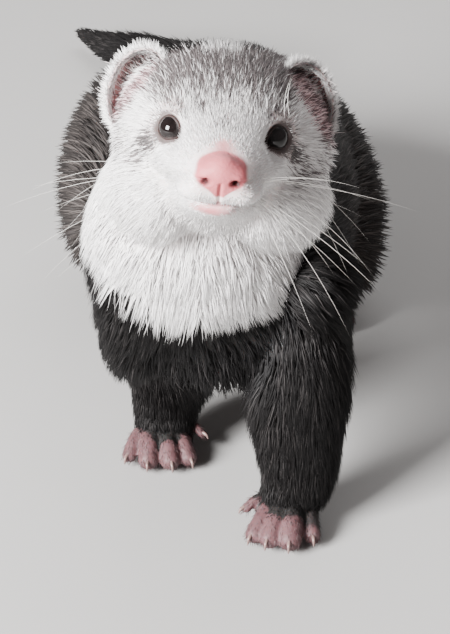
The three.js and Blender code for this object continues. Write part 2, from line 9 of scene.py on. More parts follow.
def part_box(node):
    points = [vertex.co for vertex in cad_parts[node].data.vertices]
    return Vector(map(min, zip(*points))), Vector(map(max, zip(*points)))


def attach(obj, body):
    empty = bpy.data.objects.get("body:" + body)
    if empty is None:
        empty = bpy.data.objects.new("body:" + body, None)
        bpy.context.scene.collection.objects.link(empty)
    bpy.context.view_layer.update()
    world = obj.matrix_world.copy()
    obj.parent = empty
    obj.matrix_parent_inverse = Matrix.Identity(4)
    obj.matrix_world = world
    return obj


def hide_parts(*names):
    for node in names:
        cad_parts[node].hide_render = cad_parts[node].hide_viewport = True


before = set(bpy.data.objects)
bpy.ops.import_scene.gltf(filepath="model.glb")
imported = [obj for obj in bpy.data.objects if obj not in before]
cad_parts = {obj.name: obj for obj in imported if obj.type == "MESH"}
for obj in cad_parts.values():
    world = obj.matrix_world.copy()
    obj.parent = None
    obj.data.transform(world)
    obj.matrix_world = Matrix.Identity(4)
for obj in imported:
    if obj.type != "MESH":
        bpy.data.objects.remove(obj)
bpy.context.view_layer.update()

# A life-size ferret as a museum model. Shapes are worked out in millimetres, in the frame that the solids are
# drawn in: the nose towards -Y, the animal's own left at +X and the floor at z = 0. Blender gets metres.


def vec(*numbers):
    return np.array(numbers, float)


def unit(vectors):
    return vectors / np.maximum(np.linalg.norm(vectors, axis=-1, keepdims=True), 1e-9)


def ease(x, low, high):
    """0 below low, 1 above high, and smooth between."""
    t = np.clip((x - low) / (high - low), 0, 1)
    return t * t * (3 - 2 * t)


def mix(a, b, share):
    """From a to b. Each is one colour or a row of colours for each share."""
    share = np.asarray(share, float)[..., None]
    return a * (1 - share) + b * share


# Head frame: the nose tip is its origin, +s runs back from it and +h up.

HEAD_RAISE = math.radians(12)
HEAD_ROLL = math.radians(5.4)
NOSE_TIP = vec(-1, -40, 130)


def head_axes():
    back = vec(0, math.cos(HEAD_RAISE), -math.sin(HEAD_RAISE))
    up = vec(0, math.sin(HEAD_RAISE), math.cos(HEAD_RAISE))
    across = vec(1, 0, 0)
    side = across * math.cos(HEAD_ROLL) - up * math.sin(HEAD_ROLL)
    crown = up * math.cos(HEAD_ROLL) + across * math.sin(HEAD_ROLL)
    return np.array([side, back, crown])


HEAD_AXES = head_axes()


def from_head(points):
    return np.asarray(points, float) @ HEAD_AXES + NOSE_TIP


def to_head(points):
    return (points - NOSE_TIP) @ HEAD_AXES.T


EYE_RADIUS = 4.2
EYE_CENTRE = vec(12.7, 26, 5.8)
EYE_OUTWARD = math.radians(38)
EYE_UPWARD = math.radians(12)
INNER_CORNER = math.radians(204)

low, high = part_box("eye_left")
SHIFT = np.array((low + high) / 2) * 1000 - from_head(EYE_CENTRE)


def place(points):
    """Millimetres in the drawing's frame to metres in the row's."""
    return (np.asarray(points, float) + SHIFT) / 1000


# Limbs. A station is a centre, a half width, the reach up and down from it, and the depth of the coat there.


def smooth_path(points, t):
    n = len(points)
    p = np.vstack([2 * points[0] - points[1], points, 2 * points[-1] - points[-2]])
    u = np.clip(t, 0, 1) * (n - 1)
    i = np.minimum(u.astype(int), n - 2)
    w = (u - i)[:, None]
    a, b, c, d = p[i], p[i + 1], p[i + 2], p[i + 3]
    return 0.5 * (2 * b + (c - a) * w + (2 * a - 5 * b + 4 * c - d) * w**2 + (3 * b - a - 3 * c + d) * w**3)


DOME_RINGS = 3
DOME_SPREAD = math.pi / 2 * 0.96  # how far round a limb's domed end its last ring is
LEAST_DOME = 0.3


class Limb:
    def __init__(self, name, rows, domes=(8, 8), power=2.2, flow=None, on_head=False, region=None):
        rows = np.array(rows, float)
        self.name, self.domes, self.power, self.on_head = name, domes, power, on_head
        self.centres, self.sizes, self.depths = rows[:, :3], rows[:, 3:6], rows[:, 6:7]
        self.flow = None if flow is None else unit(np.array(flow, float))
        self.region = region or name

    def ahead(self, t, step):
        before, after = np.maximum(t - step, 0), np.minimum(t + step, 1)
        return unit(smooth_path(self.centres, after) - smooth_path(self.centres, before))

    def rings(self, count, sides):
        t = np.linspace(0, 1, count)
        at, ahead = smooth_path(self.centres, t), self.ahead(t, 0.01)
        size = smooth_path(self.sizes, t) - smooth_path(self.depths, t)
        places, sizes, along = list(at), list(size), list(ahead)
        for end, way in ((0, -ahead[0]), (-1, ahead[-1])):
            reach = max(self.domes[end] - self.depths[end, 0], LEAST_DOME)
            for k in range(1, DOME_RINGS + 1):
                a = DOME_SPREAD * k / DOME_RINGS
                put_at = 0 if end == 0 else len(places)
                places.insert(put_at, at[end] + way * reach * math.sin(a))
                sizes.insert(put_at, size[end] * math.cos(a))
                along.insert(put_at, ahead[end])
        places, sizes, along = np.array(places), np.array(sizes), np.array(along)
        side = unit(vec(1, 0, 0) - along * along[:, :1])
        up = np.cross(side, along)
        angle = round_angles(sides)
        across, tall = self.bend(np.sin(angle)), self.bend(np.cos(angle))
        reach = np.where(tall > 0, sizes[:, 1:2], sizes[:, 2:3])
        points = (
            places[:, None]
            + side[:, None] * (across[None] * sizes[:, :1])[..., None]
            + up[:, None] * (tall[None] * reach)[..., None]
        )
        return from_head(points) if self.on_head else points

    def bend(self, x):
        return np.sign(x) * np.abs(x) ** (2 / self.power)

    def samples(self, count):
        t = np.linspace(0, 1, count)
        size, ahead = smooth_path(self.sizes, t), self.ahead(t, 0.02)
        up = np.cross(unit(vec(1, 0, 0) - ahead * ahead[:, :1]), ahead)
        at = smooth_path(self.centres, t) + up * ((size[:, 1:2] - size[:, 2:3]) / 2)
        flow = ahead if self.flow is None else np.tile(self.flow, (count, 1))
        if self.on_head:
            at, ahead, flow = from_head(at), ahead @ HEAD_AXES, flow @ HEAD_AXES
        radius = (size[:, 0] + (size[:, 1] + size[:, 2]) / 2) / 2
        return at, ahead, flow, radius, t


def round_angles(sides):
    return np.arange(sides) * 2 * math.pi / sides


def bands(rings, sides, start=0):
    """The quads between rings of points that follow one another, each of so many sides."""
    quads = []
    for i in range(rings - 1):
        for j in range(sides):
            a, b = start + i * sides + j, start + i * sides + (j + 1) % sides
            quads.append((a, b, b + sides, a + sides))
    return quads


def ring_faces(rings, sides):
    ends = [tuple(range(sides))[::-1], tuple((rings - 1) * sides + j for j in range(sides))]
    return bands(rings, sides) + ends


def ball(centre, radii, rings=14, sides=20):
    points = [centre + vec(0, 0, radii[2])]
    for a in np.linspace(0, math.pi, rings + 1)[1:-1]:
        for b in round_angles(sides):
            way = vec(math.sin(a) * math.cos(b), math.sin(a) * math.sin(b), math.cos(a))
            points.append(centre + way * radii)
    points.append(centre - vec(0, 0, radii[2]))
    last = len(points) - 1
    faces = [(0, 1 + j, 1 + (j + 1) % sides) for j in range(sides)]
    faces += [(a, d, c, b) for a, b, c, d in bands(rings - 1, sides, 1)]
    faces += [(last, last - sides + (j + 1) % sides, last - sides + j) for j in range(sides)]
    return np.array(points), faces


LIMBS = [
    Limb("skull", [
        (0, 3, -0.5, 6.5, 5, 6.5, 0.5),
        (0, 8, -0.5, 10.5, 8, 8, 0.7),
        (0, 15, 0, 14.2, 11.5, 10, 1.0),
        (0, 24, 1, 18.6, 15.5, 14, 1.7),
        (0, 34, 2, 25.5, 20.5, 20, 2.4),
        (0, 46, 2, 31, 24, 26, 3.0),
        (0, 58, 0, 31, 25, 28, 3.6),
        (0, 70, -5, 27, 23, 24, 4.4),
    ], domes=(3, 9), power=2.1, on_head=True, region="head"),
    Limb("jaw", [
        (0, 5.5, -7.8, 5.2, 3.5, 4, 0.8),
        (0, 12, -8.6, 9.2, 5, 5.5, 1),
        (0, 22, -9.6, 13.5, 7, 8.5, 1.8),
        (0, 34, -12, 18, 9, 12, 3),
    ], domes=(3, 6), power=2.1, on_head=True, region="head"),
    Limb("neck", [
        (-2, 10, 122, 28, 26, 24, 5.4),
        (-6, 15, 105, 31.5, 32, 27.5, 7.6),
        (-8.5, 21, 86, 33.5, 34, 32, 7.6),
        (-6.8, 27, 68, 31.8, 34, 36, 7.0),
        (-2, 34, 52, 24, 26, 30, 6),
    ]),
    Limb("trunk", [
        (-2, 8, 58, 25, 24, 22, 5),
        (0, 34, 60, 32, 36, 26, 6),
        (4, 66, 57, 38, 40, 29, 8.6),
        (7, 102, 51, 42, 43, 37, 8.8),
        (5, 144, 43, 44, 42, 42, 8.4),
        (1, 184, 35, 38, 33, 36, 6.5),
        (-1, 212, 26, 23, 21, 27, 7),
    ], domes=(12, 12), power=2.3),
    Limb("shoulder_left", [
        (22.5, 21, 70, 15, 23, 23, 4.4),
        (22.5, 19, 52, 14, 20, 20, 4),
    ], domes=(12, 12), flow=(0.1, 0.35, -0.9), region="shoulder"),
    Limb("shoulder_right", [
        (-22.5, 21, 70, 15, 23, 23, 3.8),
        (-22.5, 21, 52, 14, 20, 20, 3.4),
    ], domes=(12, 12), flow=(-0.1, 0.35, -0.9), region="shoulder"),
    Limb("foreleg_left", [
        (22, 16, 62, 11, 13, 14, 2.8),
        (22, 11, 54, 13.5, 15, 15.5, 2.8),
        (21, 5, 42, 15, 14, 13, 2.6),
        (21.4, 1, 28, 12.8, 12, 11, 2.0),
        (21.8, -2, 17, 11.2, 10, 9.5, 1.5),
        (20.4, -5, 9, 10.4, 9, 8, 1.1),
    ], domes=(6, 5), region="foreleg"),
    Limb("foreleg_right", [
        (-23, 25, 62, 11, 14, 14, 2.6),
        (-23, 28, 54, 13.2, 15, 16, 2.6),
        (-20.5, 34, 41, 13, 13.5, 12.5, 2.2),
        (-17.4, 38, 27, 12.2, 11.5, 11, 1.5),
        (-18, 38, 16, 10.6, 10, 9.5, 1.2),
        (-18.5, 35, 9, 9.8, 9, 8, 1.0),
    ], domes=(6, 5), region="foreleg"),
    Limb("thigh_left", [
        (22, 178, 44, 18, 24, 30, 7),
        (30, 150, 40, 24, 31, 34, 7.5),
        (35, 124, 34, 22, 26, 28, 6.2),
        (37, 104, 27, 15, 17, 18, 3.8),
    ], domes=(10, 12), flow=(0.15, 0.75, -0.65), region="thigh"),
    Limb("thigh_right", [
        (-18, 200, 40, 18, 24, 28, 5.5),
        (-31, 172, 39, 26, 30, 34, 5.5),
        (-39, 148, 33, 21, 25, 28, 4.8),
        (-42, 128, 26, 14, 16, 17, 3.8),
    ], domes=(10, 12), flow=(-0.15, 0.75, -0.65), region="thigh"),
    Limb("hind_foot_left", [
        (37, 170, 10, 7.5, 8.5, 10, 2.8),
        (36, 146, 8, 9, 7.5, 9, 1.5),
        (34.5, 122, 7, 10.5, 6.5, 8, 1),
    ], domes=(6, 4), region="hind_foot"),
    Limb("hind_foot_right", [
        (-38, 198, 10, 7.5, 8.5, 10, 2.8),
        (-38, 174, 8, 9, 7.5, 9, 1.5),
        (-36.5, 150, 7, 10.5, 6.5, 8, 1),
    ], domes=(6, 4), region="hind_foot"),
    Limb("tail", [
        (-1, 216, 25, 17, 15, 22, 7),
        (0, 240, 17, 14.5, 13.5, 18, 7.5),
        (-3, 272, 14, 14.5, 13.5, 14.8, 8.5),
        (-14, 304, 13.5, 15, 14, 14.3, 9),
        (-36, 328, 11.6, 11.6, 11, 12.2, 6.6),
        (-52, 344, 9.2, 7, 7, 9, 3.4),
        (-64.5, 362, 7.4, 2.8, 3, 5, 1.2),
    ], domes=(8, 4)),
]

# Paws: a palm, five toes from knuckle to tip, and a claw on each.


def toe(name, knuckle, tip, radius):
    knuckle, tip = np.array(knuckle, float), np.array(tip, float)
    middle = knuckle + (tip - knuckle) * 0.55 + vec(0, 0, 0.8)
    rows = [(*p, radius, radius, radius, 0.35) for p in (knuckle, middle, tip)]
    limb = Limb(name, rows, domes=(1.5, radius * 0.9), power=2, region="toe")
    limb.tip, limb.knuckle, limb.radius = tip, knuckle, radius
    return limb


def hind_toes(x, y, inner):
    spread, reach = (1.7, 0.9, 0.15, -0.6, -1.3), (8, 12.5, 14, 13.5, 10.5)
    return [
        ((x + inner * s * 5, y - 3, 6.5), (x + inner * s * 6.4, y - r, 3.2), 2.9 if i else 2.3)
        for i, (s, r) in enumerate(zip(spread, reach))
    ]


PAWS = {
    "fore_left": (
        vec(18, -7, 5.5),
        [
            ((12.5, -4, 9), (6.2, -8, 6.6), 1.8),
            ((13.5, -9, 7), (8.6, -17, 3.6), 3.2),
            ((16.5, -10, 7.5), (13, -19.2, 3.8), 3.5),
            ((20, -10, 7.5), (18.8, -20.2, 4), 3.8),
            ((24.5, -8, 7), (25.4, -17, 3.3), 2.9),
        ],
    ),
    "fore_right": (
        vec(-19, 33, 5.5),
        [
            ((-12.5, 36, 9), (-7.2, 31.8, 6.6), 1.7),
            ((-14.5, 31, 7), (-11.2, 22.5, 3.6), 3),
            ((-18.5, 30, 7.5), (-16.8, 20.8, 3.8), 3.4),
            ((-23, 30, 7.5), (-23.6, 21.2, 3.8), 3.5),
            ((-26.5, 32, 7), (-29.6, 25, 3.2), 2.7),
        ],
    ),
    "hind_left": (vec(34, 118, 4.5), hind_toes(34, 118, -1)),
    "hind_right": (vec(-36, 146, 4.5), hind_toes(-36, 146, 1)),
}
TOES = [
    toe(f"toe_{paw}_{i}", *sizes)
    for paw, (_, toes) in PAWS.items()
    for i, sizes in enumerate(toes)
]
LIMBS += TOES
for paw, (centre, _) in PAWS.items():
    rows = [(*(centre + vec(0, 3, 0)), 9.5, 6.5, 6.5, 0.7), (*(centre - vec(0, 3, 0)), 9.5, 6, 6, 0.7)]
    LIMBS.append(Limb(f"palm_{paw}", rows, domes=(5, 5), flow=(0, -0.92, -0.38), region="palm"))

# Meshes


def linked(name, data):
    made = bpy.data.objects.new(name, data)
    bpy.context.scene.collection.objects.link(made)
    return made


def mesh_object(name, points, faces, smooth=True):
    mesh = bpy.data.meshes.new(name)
    mesh.from_pydata([tuple(p) for p in points], [], [tuple(f) for f in faces])
    mesh.update()
    if smooth:
        mesh.polygons.foreach_set("use_smooth", [True] * len(mesh.polygons))
    return linked(name, mesh)


def joined_shapes(shapes):
    points, faces, start = [], [], 0
    for p, f in shapes:
        points.append(p)
        faces += [tuple(i + start for i in face) for face in f]
        start += len(p)
    return np.vstack(points), faces


def limb_shapes(limbs, count, sides):
    shapes = []
    for limb in limbs:
        rings = limb.rings(count, sides)
        shapes.append((rings.reshape(-1, 3), ring_faces(len(rings), sides)))
    return shapes


def body_shapes():
    shapes = limb_shapes([limb for limb in LIMBS if limb.region not in ("toe", "palm")], 26, 40)
    for side in (1, -1):
        pad = ball(vec(5.4 * side, 8, -4.2), vec(6.4, 7.6, 4.4) - 0.6)
        wing = ball(vec(3.7 * side, 3.7, -0.1), vec(3.3, 4.1, 4.1))
        cheek = ball(vec(14 * side, 40, -12), vec(12, 16, 12))
        for points, faces in (pad, wing, cheek):
            shapes.append((from_head(points), faces))
    points, faces = ball(vec(0, 3.4, 0.9), vec(5, 4.6, 4.8))
    shapes.append((from_head(points), faces))
    return shapes


def paw_shapes():
    return limb_shapes([limb for limb in LIMBS if limb.region in ("toe", "palm")], 8, 18)


def joined_skin(shapes, voxel, rounds):
    points, faces = joined_shapes(shapes)
    skin = mesh_object("skin", points, faces)
    remesh = skin.modifiers.new("join", "REMESH")
    remesh.mode = "VOXEL"
    remesh.voxel_size = voxel
    remesh.use_smooth_shade = True
    soften = skin.modifiers.new("soften", "SMOOTH")
    soften.factor = 0.5
    soften.iterations = rounds
    bpy.context.view_layer.update()
    evaluated = skin.evaluated_get(bpy.context.evaluated_depsgraph_get())
    mesh = bpy.data.meshes.new_from_object(evaluated)
    bpy.data.objects.remove(skin)
    return mesh


def finer_where(mesh, wanted):
    """Cuts each edge in two where both its ends are wanted."""
    bm = bmesh.new()
    bm.from_mesh(mesh)
    bm.verts.ensure_lookup_table()
    points = np.array([v.co for v in bm.verts])
    keep = wanted(points)
    edges = [e for e in bm.edges if keep[e.verts[0].index] and keep[e.verts[1].index]]
    bmesh.ops.subdivide_edges(bm, edges=edges, cuts=1, use_grid_fill=True)
    bm.to_mesh(mesh)
    bm.free()
    return mesh


def smooth_mesh(points, edges, amount, share, rounds):
    for _ in range(rounds):
        total = np.zeros_like(points)
        count = np.zeros(len(points))
        np.add.at(total, edges[:, 0], points[edges[:, 1]])
        np.add.at(total, edges[:, 1], points[edges[:, 0]])
        np.add.at(count, edges[:, 0], 1)
        np.add.at(count, edges[:, 1], 1)
        middle = total / np.maximum(count, 1)[:, None]
        points = points + (middle - points) * (amount * share)[:, None]
    return points


def read(items, key, wide, kind=float):
    values = np.empty(len(items) * wide, kind)
    items.foreach_get(key, values)
    return values.reshape(-1, wide)


def mesh_points(mesh):
    return read(mesh.vertices, "co", 3)


def mesh_normals(mesh):
    mesh.update()
    return read(mesh.vertices, "normal", 3)


# The face: lids, nostrils, the groove under the nose and the line of the mouth are drawn into the skin.


def gaze(side):
    a, b = EYE_OUTWARD, EYE_UPWARD
    return vec(side * math.sin(a) * math.cos(b), -math.cos(a) * math.cos(b), math.sin(b))


def eye_frame(side):
    """Outward, up and forward of one eye, in the head's frame, and its centre."""
    forward = gaze(side)
    up = unit(vec(0, 0, 1) - forward * forward[2])
    out = np.cross(forward, up) * side
    if out[0] * side < 0:
        out = -out
    return out, up, forward, EYE_CENTRE * vec(side, 1, 1)


def eye_distance(local, side):
    return np.linalg.norm(local - EYE_CENTRE * vec(side, 1, 1), axis=1)


OPENING_WIDE = 0.88
OPENING_ABOVE = 0.76
OPENING_BELOW = 0.66
OPENING_POWER = 1.75


def opening_angle(phi):
    """Radians from the gaze to the lids' edge at each angle round it: 0 is outward, a quarter turn up."""
    c, s = np.cos(phi), np.sin(phi)
    tall = np.where(s > 0, OPENING_ABOVE, OPENING_BELOW)
    shape = np.abs(c / OPENING_WIDE) ** OPENING_POWER + np.abs(s / tall) ** OPENING_POWER
    corner = 0.20 * np.exp((np.cos(phi - INNER_CORNER) - 1) / 0.07)
    return shape ** (-1 / OPENING_POWER) + corner + 0.06 * np.exp((np.cos(phi + 0.25) - 1) / 0.08)


LID_SIDES = 56
# Each ring of the lids: its angle past the edge of the opening, and its distance from the eye's centre.
LID_PROFILE = (
    (-0.04, 3.95), (-0.02, 4.28), (0.0, 4.40), (0.05, 4.47),
    (0.12, 4.43), (0.22, 4.25), (0.42, 3.7), (0.35, 3.2),
)
LID_EDGE_RADIUS = 4.3
LID_MARGIN = 0.16


def lid_shape(side):
    out, up, forward, centre = eye_frame(side)
    phi = round_angles(LID_SIDES)
    base, top = opening_angle(phi), np.maximum(np.sin(phi), 0)
    points = []
    for extra, radius in LID_PROFILE:
        a = (base + extra)[:, None]
        r = radius + (0.12 if 0 < extra < 0.2 else 0) * top
        direction = np.cos(a) * forward + np.sin(a) * (np.cos(phi)[:, None] * out + np.sin(phi)[:, None] * up)
        points.append(centre + direction * r[:, None])
    faces = bands(len(LID_PROFILE), LID_SIDES)
    last = (len(LID_PROFILE) - 1) * LID_SIDES
    for j in range(LID_SIDES):
        after = (j + 1) % LID_SIDES
        faces.append((last + j, last + after, after, j))
    return from_head(np.vstack(points)), [face if side > 0 else face[::-1] for face in faces]


def round_eye(local, side):
    """The eye's forward, how far points are ahead of it and off its axis, and the lids' angle there."""
    out, up, forward, centre = eye_frame(side)
    d = local - centre
    a, b = d @ out, d @ up
    angle = np.minimum(opening_angle(np.arctan2(b, a)) + LID_MARGIN, 1.5)
    return forward, d @ forward, np.hypot(a, b), angle


MOUTH_LINE = np.array([(0, -1, -7.6), (0, 5, -7.6), (0, 10, -7.9), (0, 16, -8.6), (0, 22, -10.2)], float)


def mouth_height(s):
    return np.interp(s, MOUTH_LINE[:, 1], MOUTH_LINE[:, 2])


def spot(*parts):
    """1 at a centre and less away from it. A part is a measure, its value at the centre and its spread."""
    return np.exp(-sum(((value - centre) / spread) ** 2 for value, centre, spread in parts))


def draw_face(points, normals):
    local = to_head(points)
    x, s, h = local.T
    inward = np.zeros(len(points))
    for side in (1, -1):
        pit = np.sqrt(((x - side * 3.9) / 1.25) ** 2 + ((h + 1.3) / 0.95) ** 2)
        slit = np.sqrt(((x - side * 5.6) / 1.2) ** 2 + ((h + 0.9) / 0.5) ** 2)
        inward += np.where(s < 5, 2.2 * np.exp(-(pit**3)) + 1.0 * np.exp(-(slit**2)), 0)
    groove = spot((x, 0, 0.42)) * ease(-h, 0.8, 2.0) * ease(h, -8.5, -7) * ease(-s, -5.5, -3)
    inward += 0.75 * groove
    gap = h - mouth_height(s)
    on_mouth = ease(-s, -24, -18) * ease(s, -1, 1) * ease(-h, 5, 6.5)
    inward += spot((gap, 0, 0.45)) * on_mouth * (1 - 0.6 * ease(np.abs(x), 5, 10))
    lip = 0.35 * spot((gap, -1.6, 1.1)) * on_mouth * (1 - ease(np.abs(x), 3.5, 7))
    local = local - (normals @ HEAD_AXES.T) * (inward - lip)[:, None]
    for side in (1, -1):
        forward, f, r, angle = round_eye(local, side)
        edge, meets = LID_EDGE_RADIUS * np.sin(angle), LID_EDGE_RADIUS * np.cos(angle)
        limit = meets + np.where(r > edge, 0.85, 1.4) * (r - edge)
        sunk = np.minimum(f, limit)
        local = local + forward * ((sunk - f) * (f > -2) * (r < 10))[:, None]
    return from_head(local)


# Ears: a cup with a thin wall, open forward and outward.

EAR = dict(
    wide=9.0, tall=12.6, deep=6.7, wall=1.1, outward=math.radians(32), upward=math.radians(14)
)
EAR_LEAN = {1: math.radians(-10), -1: math.radians(-14)}
EAR_CENTRE = {1: vec(21.4, 49, 10.5), -1: vec(-23.4, 49, 10.5)}
EAR_RIM = 1.86
EAR_FLOOR = 0.25


def turn(axis, angle):
    return np.array(Matrix.Rotation(angle, 3, axis))


def ear_turn(side):
    return turn("Z", side * EAR["outward"]) @ turn("X", -EAR["upward"]) @ turn("Y", side * EAR_LEAN[side])


def ear_shape(side, rings=16, sides=48):
    """A cup from its floor to its rim and back along its outer wall, with what part each point is of:
    0 outside, 0.5 on the rim, and inside from 1 at the floor to 2 by the rim."""
    basis = ear_turn(side)
    phi = round_angles(sides)
    climb = EAR_RIM - EAR_FLOOR
    layers = [(EAR_FLOOR + climb * i / (rings - 1), EAR["wall"], 1 + i / (rings - 1)) for i in range(rings)]
    layers += [(EAR_RIM + 0.05, EAR["wall"] * k, 0.5) for k in (0.7, 0.35, 0)]
    layers += [(EAR_RIM - climb * i / (rings - 1), 0, 0) for i in range(rings)]
    points, part = [], []
    for a, inner, kind in layers:
        wave = 1 + 0.03 * np.sin(3 * phi + 1) * (a > 1)
        ridge = 0.9 * spot((phi, 4.4, 0.5)) * spot((a, 0.9, 0.3)) if kind >= 1 else 0
        wide, tall, deep = EAR["wide"] - inner, EAR["tall"] - inner, EAR["deep"] - inner - ridge
        across, upward = np.sin(a) * np.cos(phi) * wide * wave, np.sin(a) * np.sin(phi) * tall * wave
        local = np.stack([across, deep * np.cos(a) * np.ones(sides), upward], 1)
        points.append(EAR_CENTRE[side] + local * vec(side, 1, 1) @ basis.T)
        part += [kind] * sides
    first, last = tuple(range(sides)), tuple((len(layers) - 1) * sides + j for j in range(sides))
    faces = bands(len(layers), sides) + [first[::-1], last]
    return from_head(np.vstack(points)), [face[::-1] if side > 0 else face for face in faces], np.array(part)


def faces_of(mesh):
    return [tuple(face.vertices) for face in mesh.polygons]


def on_face(points):
    return to_head(points)[:, 1] < 34


def by_nose_or_eye(points):
    local = to_head(points)
    by_eye = np.minimum(eye_distance(local, 1), eye_distance(local, -1)) < 8.5
    return (local[:, 1] < 12) | by_eye


def build_skin():
    mesh = joined_skin(body_shapes(), 1.25, 4)
    finer_where(mesh, on_face)
    finer_where(mesh, by_nose_or_eye)
    points = mesh_points(mesh)
    edges = read(mesh.edges, "vertices", 2, int)
    share = on_face(points).astype(float)
    s, h = to_head(points)[:, 1:].T
    throat = ease(-h, 14, 22) * ease(s, 14, 26)
    neck = np.maximum(ease(s, 44, 60), throat) * ease(points[:, 2], 44, 58)
    points = smooth_mesh(points, edges, 0.5, neck, 26)
    haunch = ease(points[:, 1], 60, 90) * (1 - ease(points[:, 1], 200, 215)) * ease(points[:, 2], 14, 24)
    points = smooth_mesh(points, edges, 0.5, haunch, 16)
    points = smooth_mesh(points, edges, 0.5, share, 6)
    mesh.vertices.foreach_set("co", points.ravel())
    points = draw_face(points, mesh_normals(mesh))
    points = smooth_mesh(points, edges, 0.3, share, 1)
    paws = joined_skin(paw_shapes(), 0.6, 2)
    points, faces = joined_shapes([(points, faces_of(mesh)), (mesh_points(paws), faces_of(paws))])
    points[:, 2] = np.maximum(points[:, 2], 0.5)
    whole = bpy.data.meshes.new("skin")
    whole.from_pydata([tuple(p) for p in points], [], faces)
    whole.update()
    return whole


# The lie of the coat: each place takes the direction of the limbs nearest to it.


class Lie:
    def __init__(self):
        samples = []
        for i, limb in enumerate(LIMBS):
            count = 24 if limb.region not in ("toe", "palm") else 5
            samples.append((*limb.samples(count), np.full(count, i)))
        joined = [np.concatenate(part) for part in zip(*samples)]
        self.at, self.ahead, self.flow, self.radius, self.t, self.which = joined

    def at_points(self, points):
        """The lie, the nearest limb, and how far along and round that limb each point is."""
        found = []
        for part in np.array_split(points, max(1, len(points) // 8000)):
            d = np.linalg.norm(part[:, None] - self.at[None], axis=2) / self.radius[None]
            best = d.argmin(1)
            weight = np.exp(-(d - d.min(1)[:, None]) / 0.16)
            offset, ahead = part - self.at[best], self.ahead[best]
            side = unit(vec(1, 0, 0) - ahead * ahead[:, :1])
            up = np.cross(side, ahead)
            angle = np.arctan2((offset * side).sum(1), (offset * up).sum(1))
            found.append((unit(weight @ self.flow), self.which[best], self.t[best], angle))
        return [np.concatenate(part) for part in zip(*found)]


LIE = Lie()
REGION_OF = np.array([limb.region for limb in LIMBS])


# A patch of the skin's own unwrap for each limb: round the limb one way and along it the other.


ATLAS_WIDTH = 620.0
ATLAS_GAP = 4


def atlas():
    sizes = []
    for limb in LIMBS:
        along = np.linalg.norm(np.diff(limb.centres, axis=0), axis=1).sum() + sum(limb.domes)
        sizes.append((2 * math.pi * limb.sizes.mean(), along))
    cells, x, y, shelf = {}, 0.0, 0.0, 0.0
    for i in sorted(range(len(sizes)), key=lambda i: -sizes[i][1]):
        w, h = sizes[i]
        if x + w > ATLAS_WIDTH:
            x, y, shelf = 0.0, y + shelf + ATLAS_GAP, 0.0
        cells[i] = (x, y, w, h)
        x += w + ATLAS_GAP
        shelf = max(shelf, h)
    span = max(ATLAS_WIDTH, y + shelf)
    return np.array([[c / span for c in cells[i]] for i in range(len(sizes))])


ATLAS = atlas()


def unwrap(limb, t, angle):
    cell = ATLAS[limb]
    u = cell[:, 0] + cell[:, 2] * (0.02 + 0.96 * (angle / (2 * math.pi) + 0.5))
    v = cell[:, 1] + cell[:, 3] * (0.05 + 0.9 * t)
    return np.stack([u, v], 1)


# Markings

WHITE = vec(0.90, 0.89, 0.885)
CREAM = vec(0.135, 0.115, 0.107)
ROAN = vec(0.135, 0.112, 0.112)
SABLE = vec(0.0044, 0.0040, 0.0042)
SABLE_PALE = vec(0.023, 0.021, 0.021)
PINK = vec(0.50, 0.135, 0.15)
PINK_SKIN = vec(0.66, 0.40, 0.37)
EAR_PINK = vec(0.72, 0.31, 0.33)
TOE_PINK = vec(0.105, 0.052, 0.056)
LID_DARK = vec(0.022, 0.014, 0.013)
NOSTRIL_RED = vec(0.46, 0.11, 0.12)


def waves(points, scale, seed):
    """A smooth random number from about -1 to 1 at each place."""
    r = np.random.default_rng(seed)
    total = np.zeros(len(points))
    for _ in range(7):
        k = unit(r.normal(size=3)) / scale * r.uniform(0.7, 1.5) * 2 * math.pi
        total += np.sin(points @ k + r.uniform(0, 2 * math.pi))
    return total / 3.2


BIB_ACROSS = (-40, -36, -30, -21, -14, -6, 12, 16, 18, 20, 22)
BIB_HEIGHT = (93, 90, 86, 80.5, 77, 74.5, 74.5, 75, 78, 90, 140)


def bib_edge(points):
    """Height above the lower edge of the white of the throat and chest, where the hair is rooted."""
    x, y, z = points.T
    edge = np.interp(x, BIB_ACROSS, BIB_HEIGHT)
    edge = edge + np.interp(x, [-10, 10], [0.9, 0.4]) * np.maximum(0, y - 16)
    edge = edge + 2.0 * ease(x, 8, 16) * np.maximum(0, y - 25)
    return z - edge + 3.0 * waves(points, 16, 3)


def ear_zone(local):
    """The hair on the head in front of each ear's cup, and how low in the cup it is."""
    zone, low = np.zeros(len(local)), np.zeros(len(local))
    for side in (1, -1):
        x, s, h = (local - EAR_CENTRE[side]).T
        lateral, up = x * side, h + 0.19 * s
        here = ease(lateral + 0.7 * up, -4.0, -1.0) * (1 - ease(np.abs(up), 8.5, 12))
        here = here * ease(lateral, -8, -5.5) * ease(s, -18, -14) * (1 - ease(s, -3, 2))
        zone = np.maximum(zone, here)
        low = np.where(here > 0, 1 - ease(up, -6, 2), low)
    return zone, low


def smudge_at(local):
    """The dark mark beside the lower outer corner of each eye, and its fade down and outward."""
    x, s, h = local.T
    ax = np.abs(x) + np.where(x > 0, 1.0, 0.6)
    mark = 1.7 * spot((ax, 18.4, 2.1), (s, 28, 3.3), (h, 2.4, 2.1))
    fade = 0.5 * spot((ax, 20.8, 3.2), (s, 30, 4.5), (h, -2.4, 3.6))
    return np.clip(mark, 0, 0.95), fade


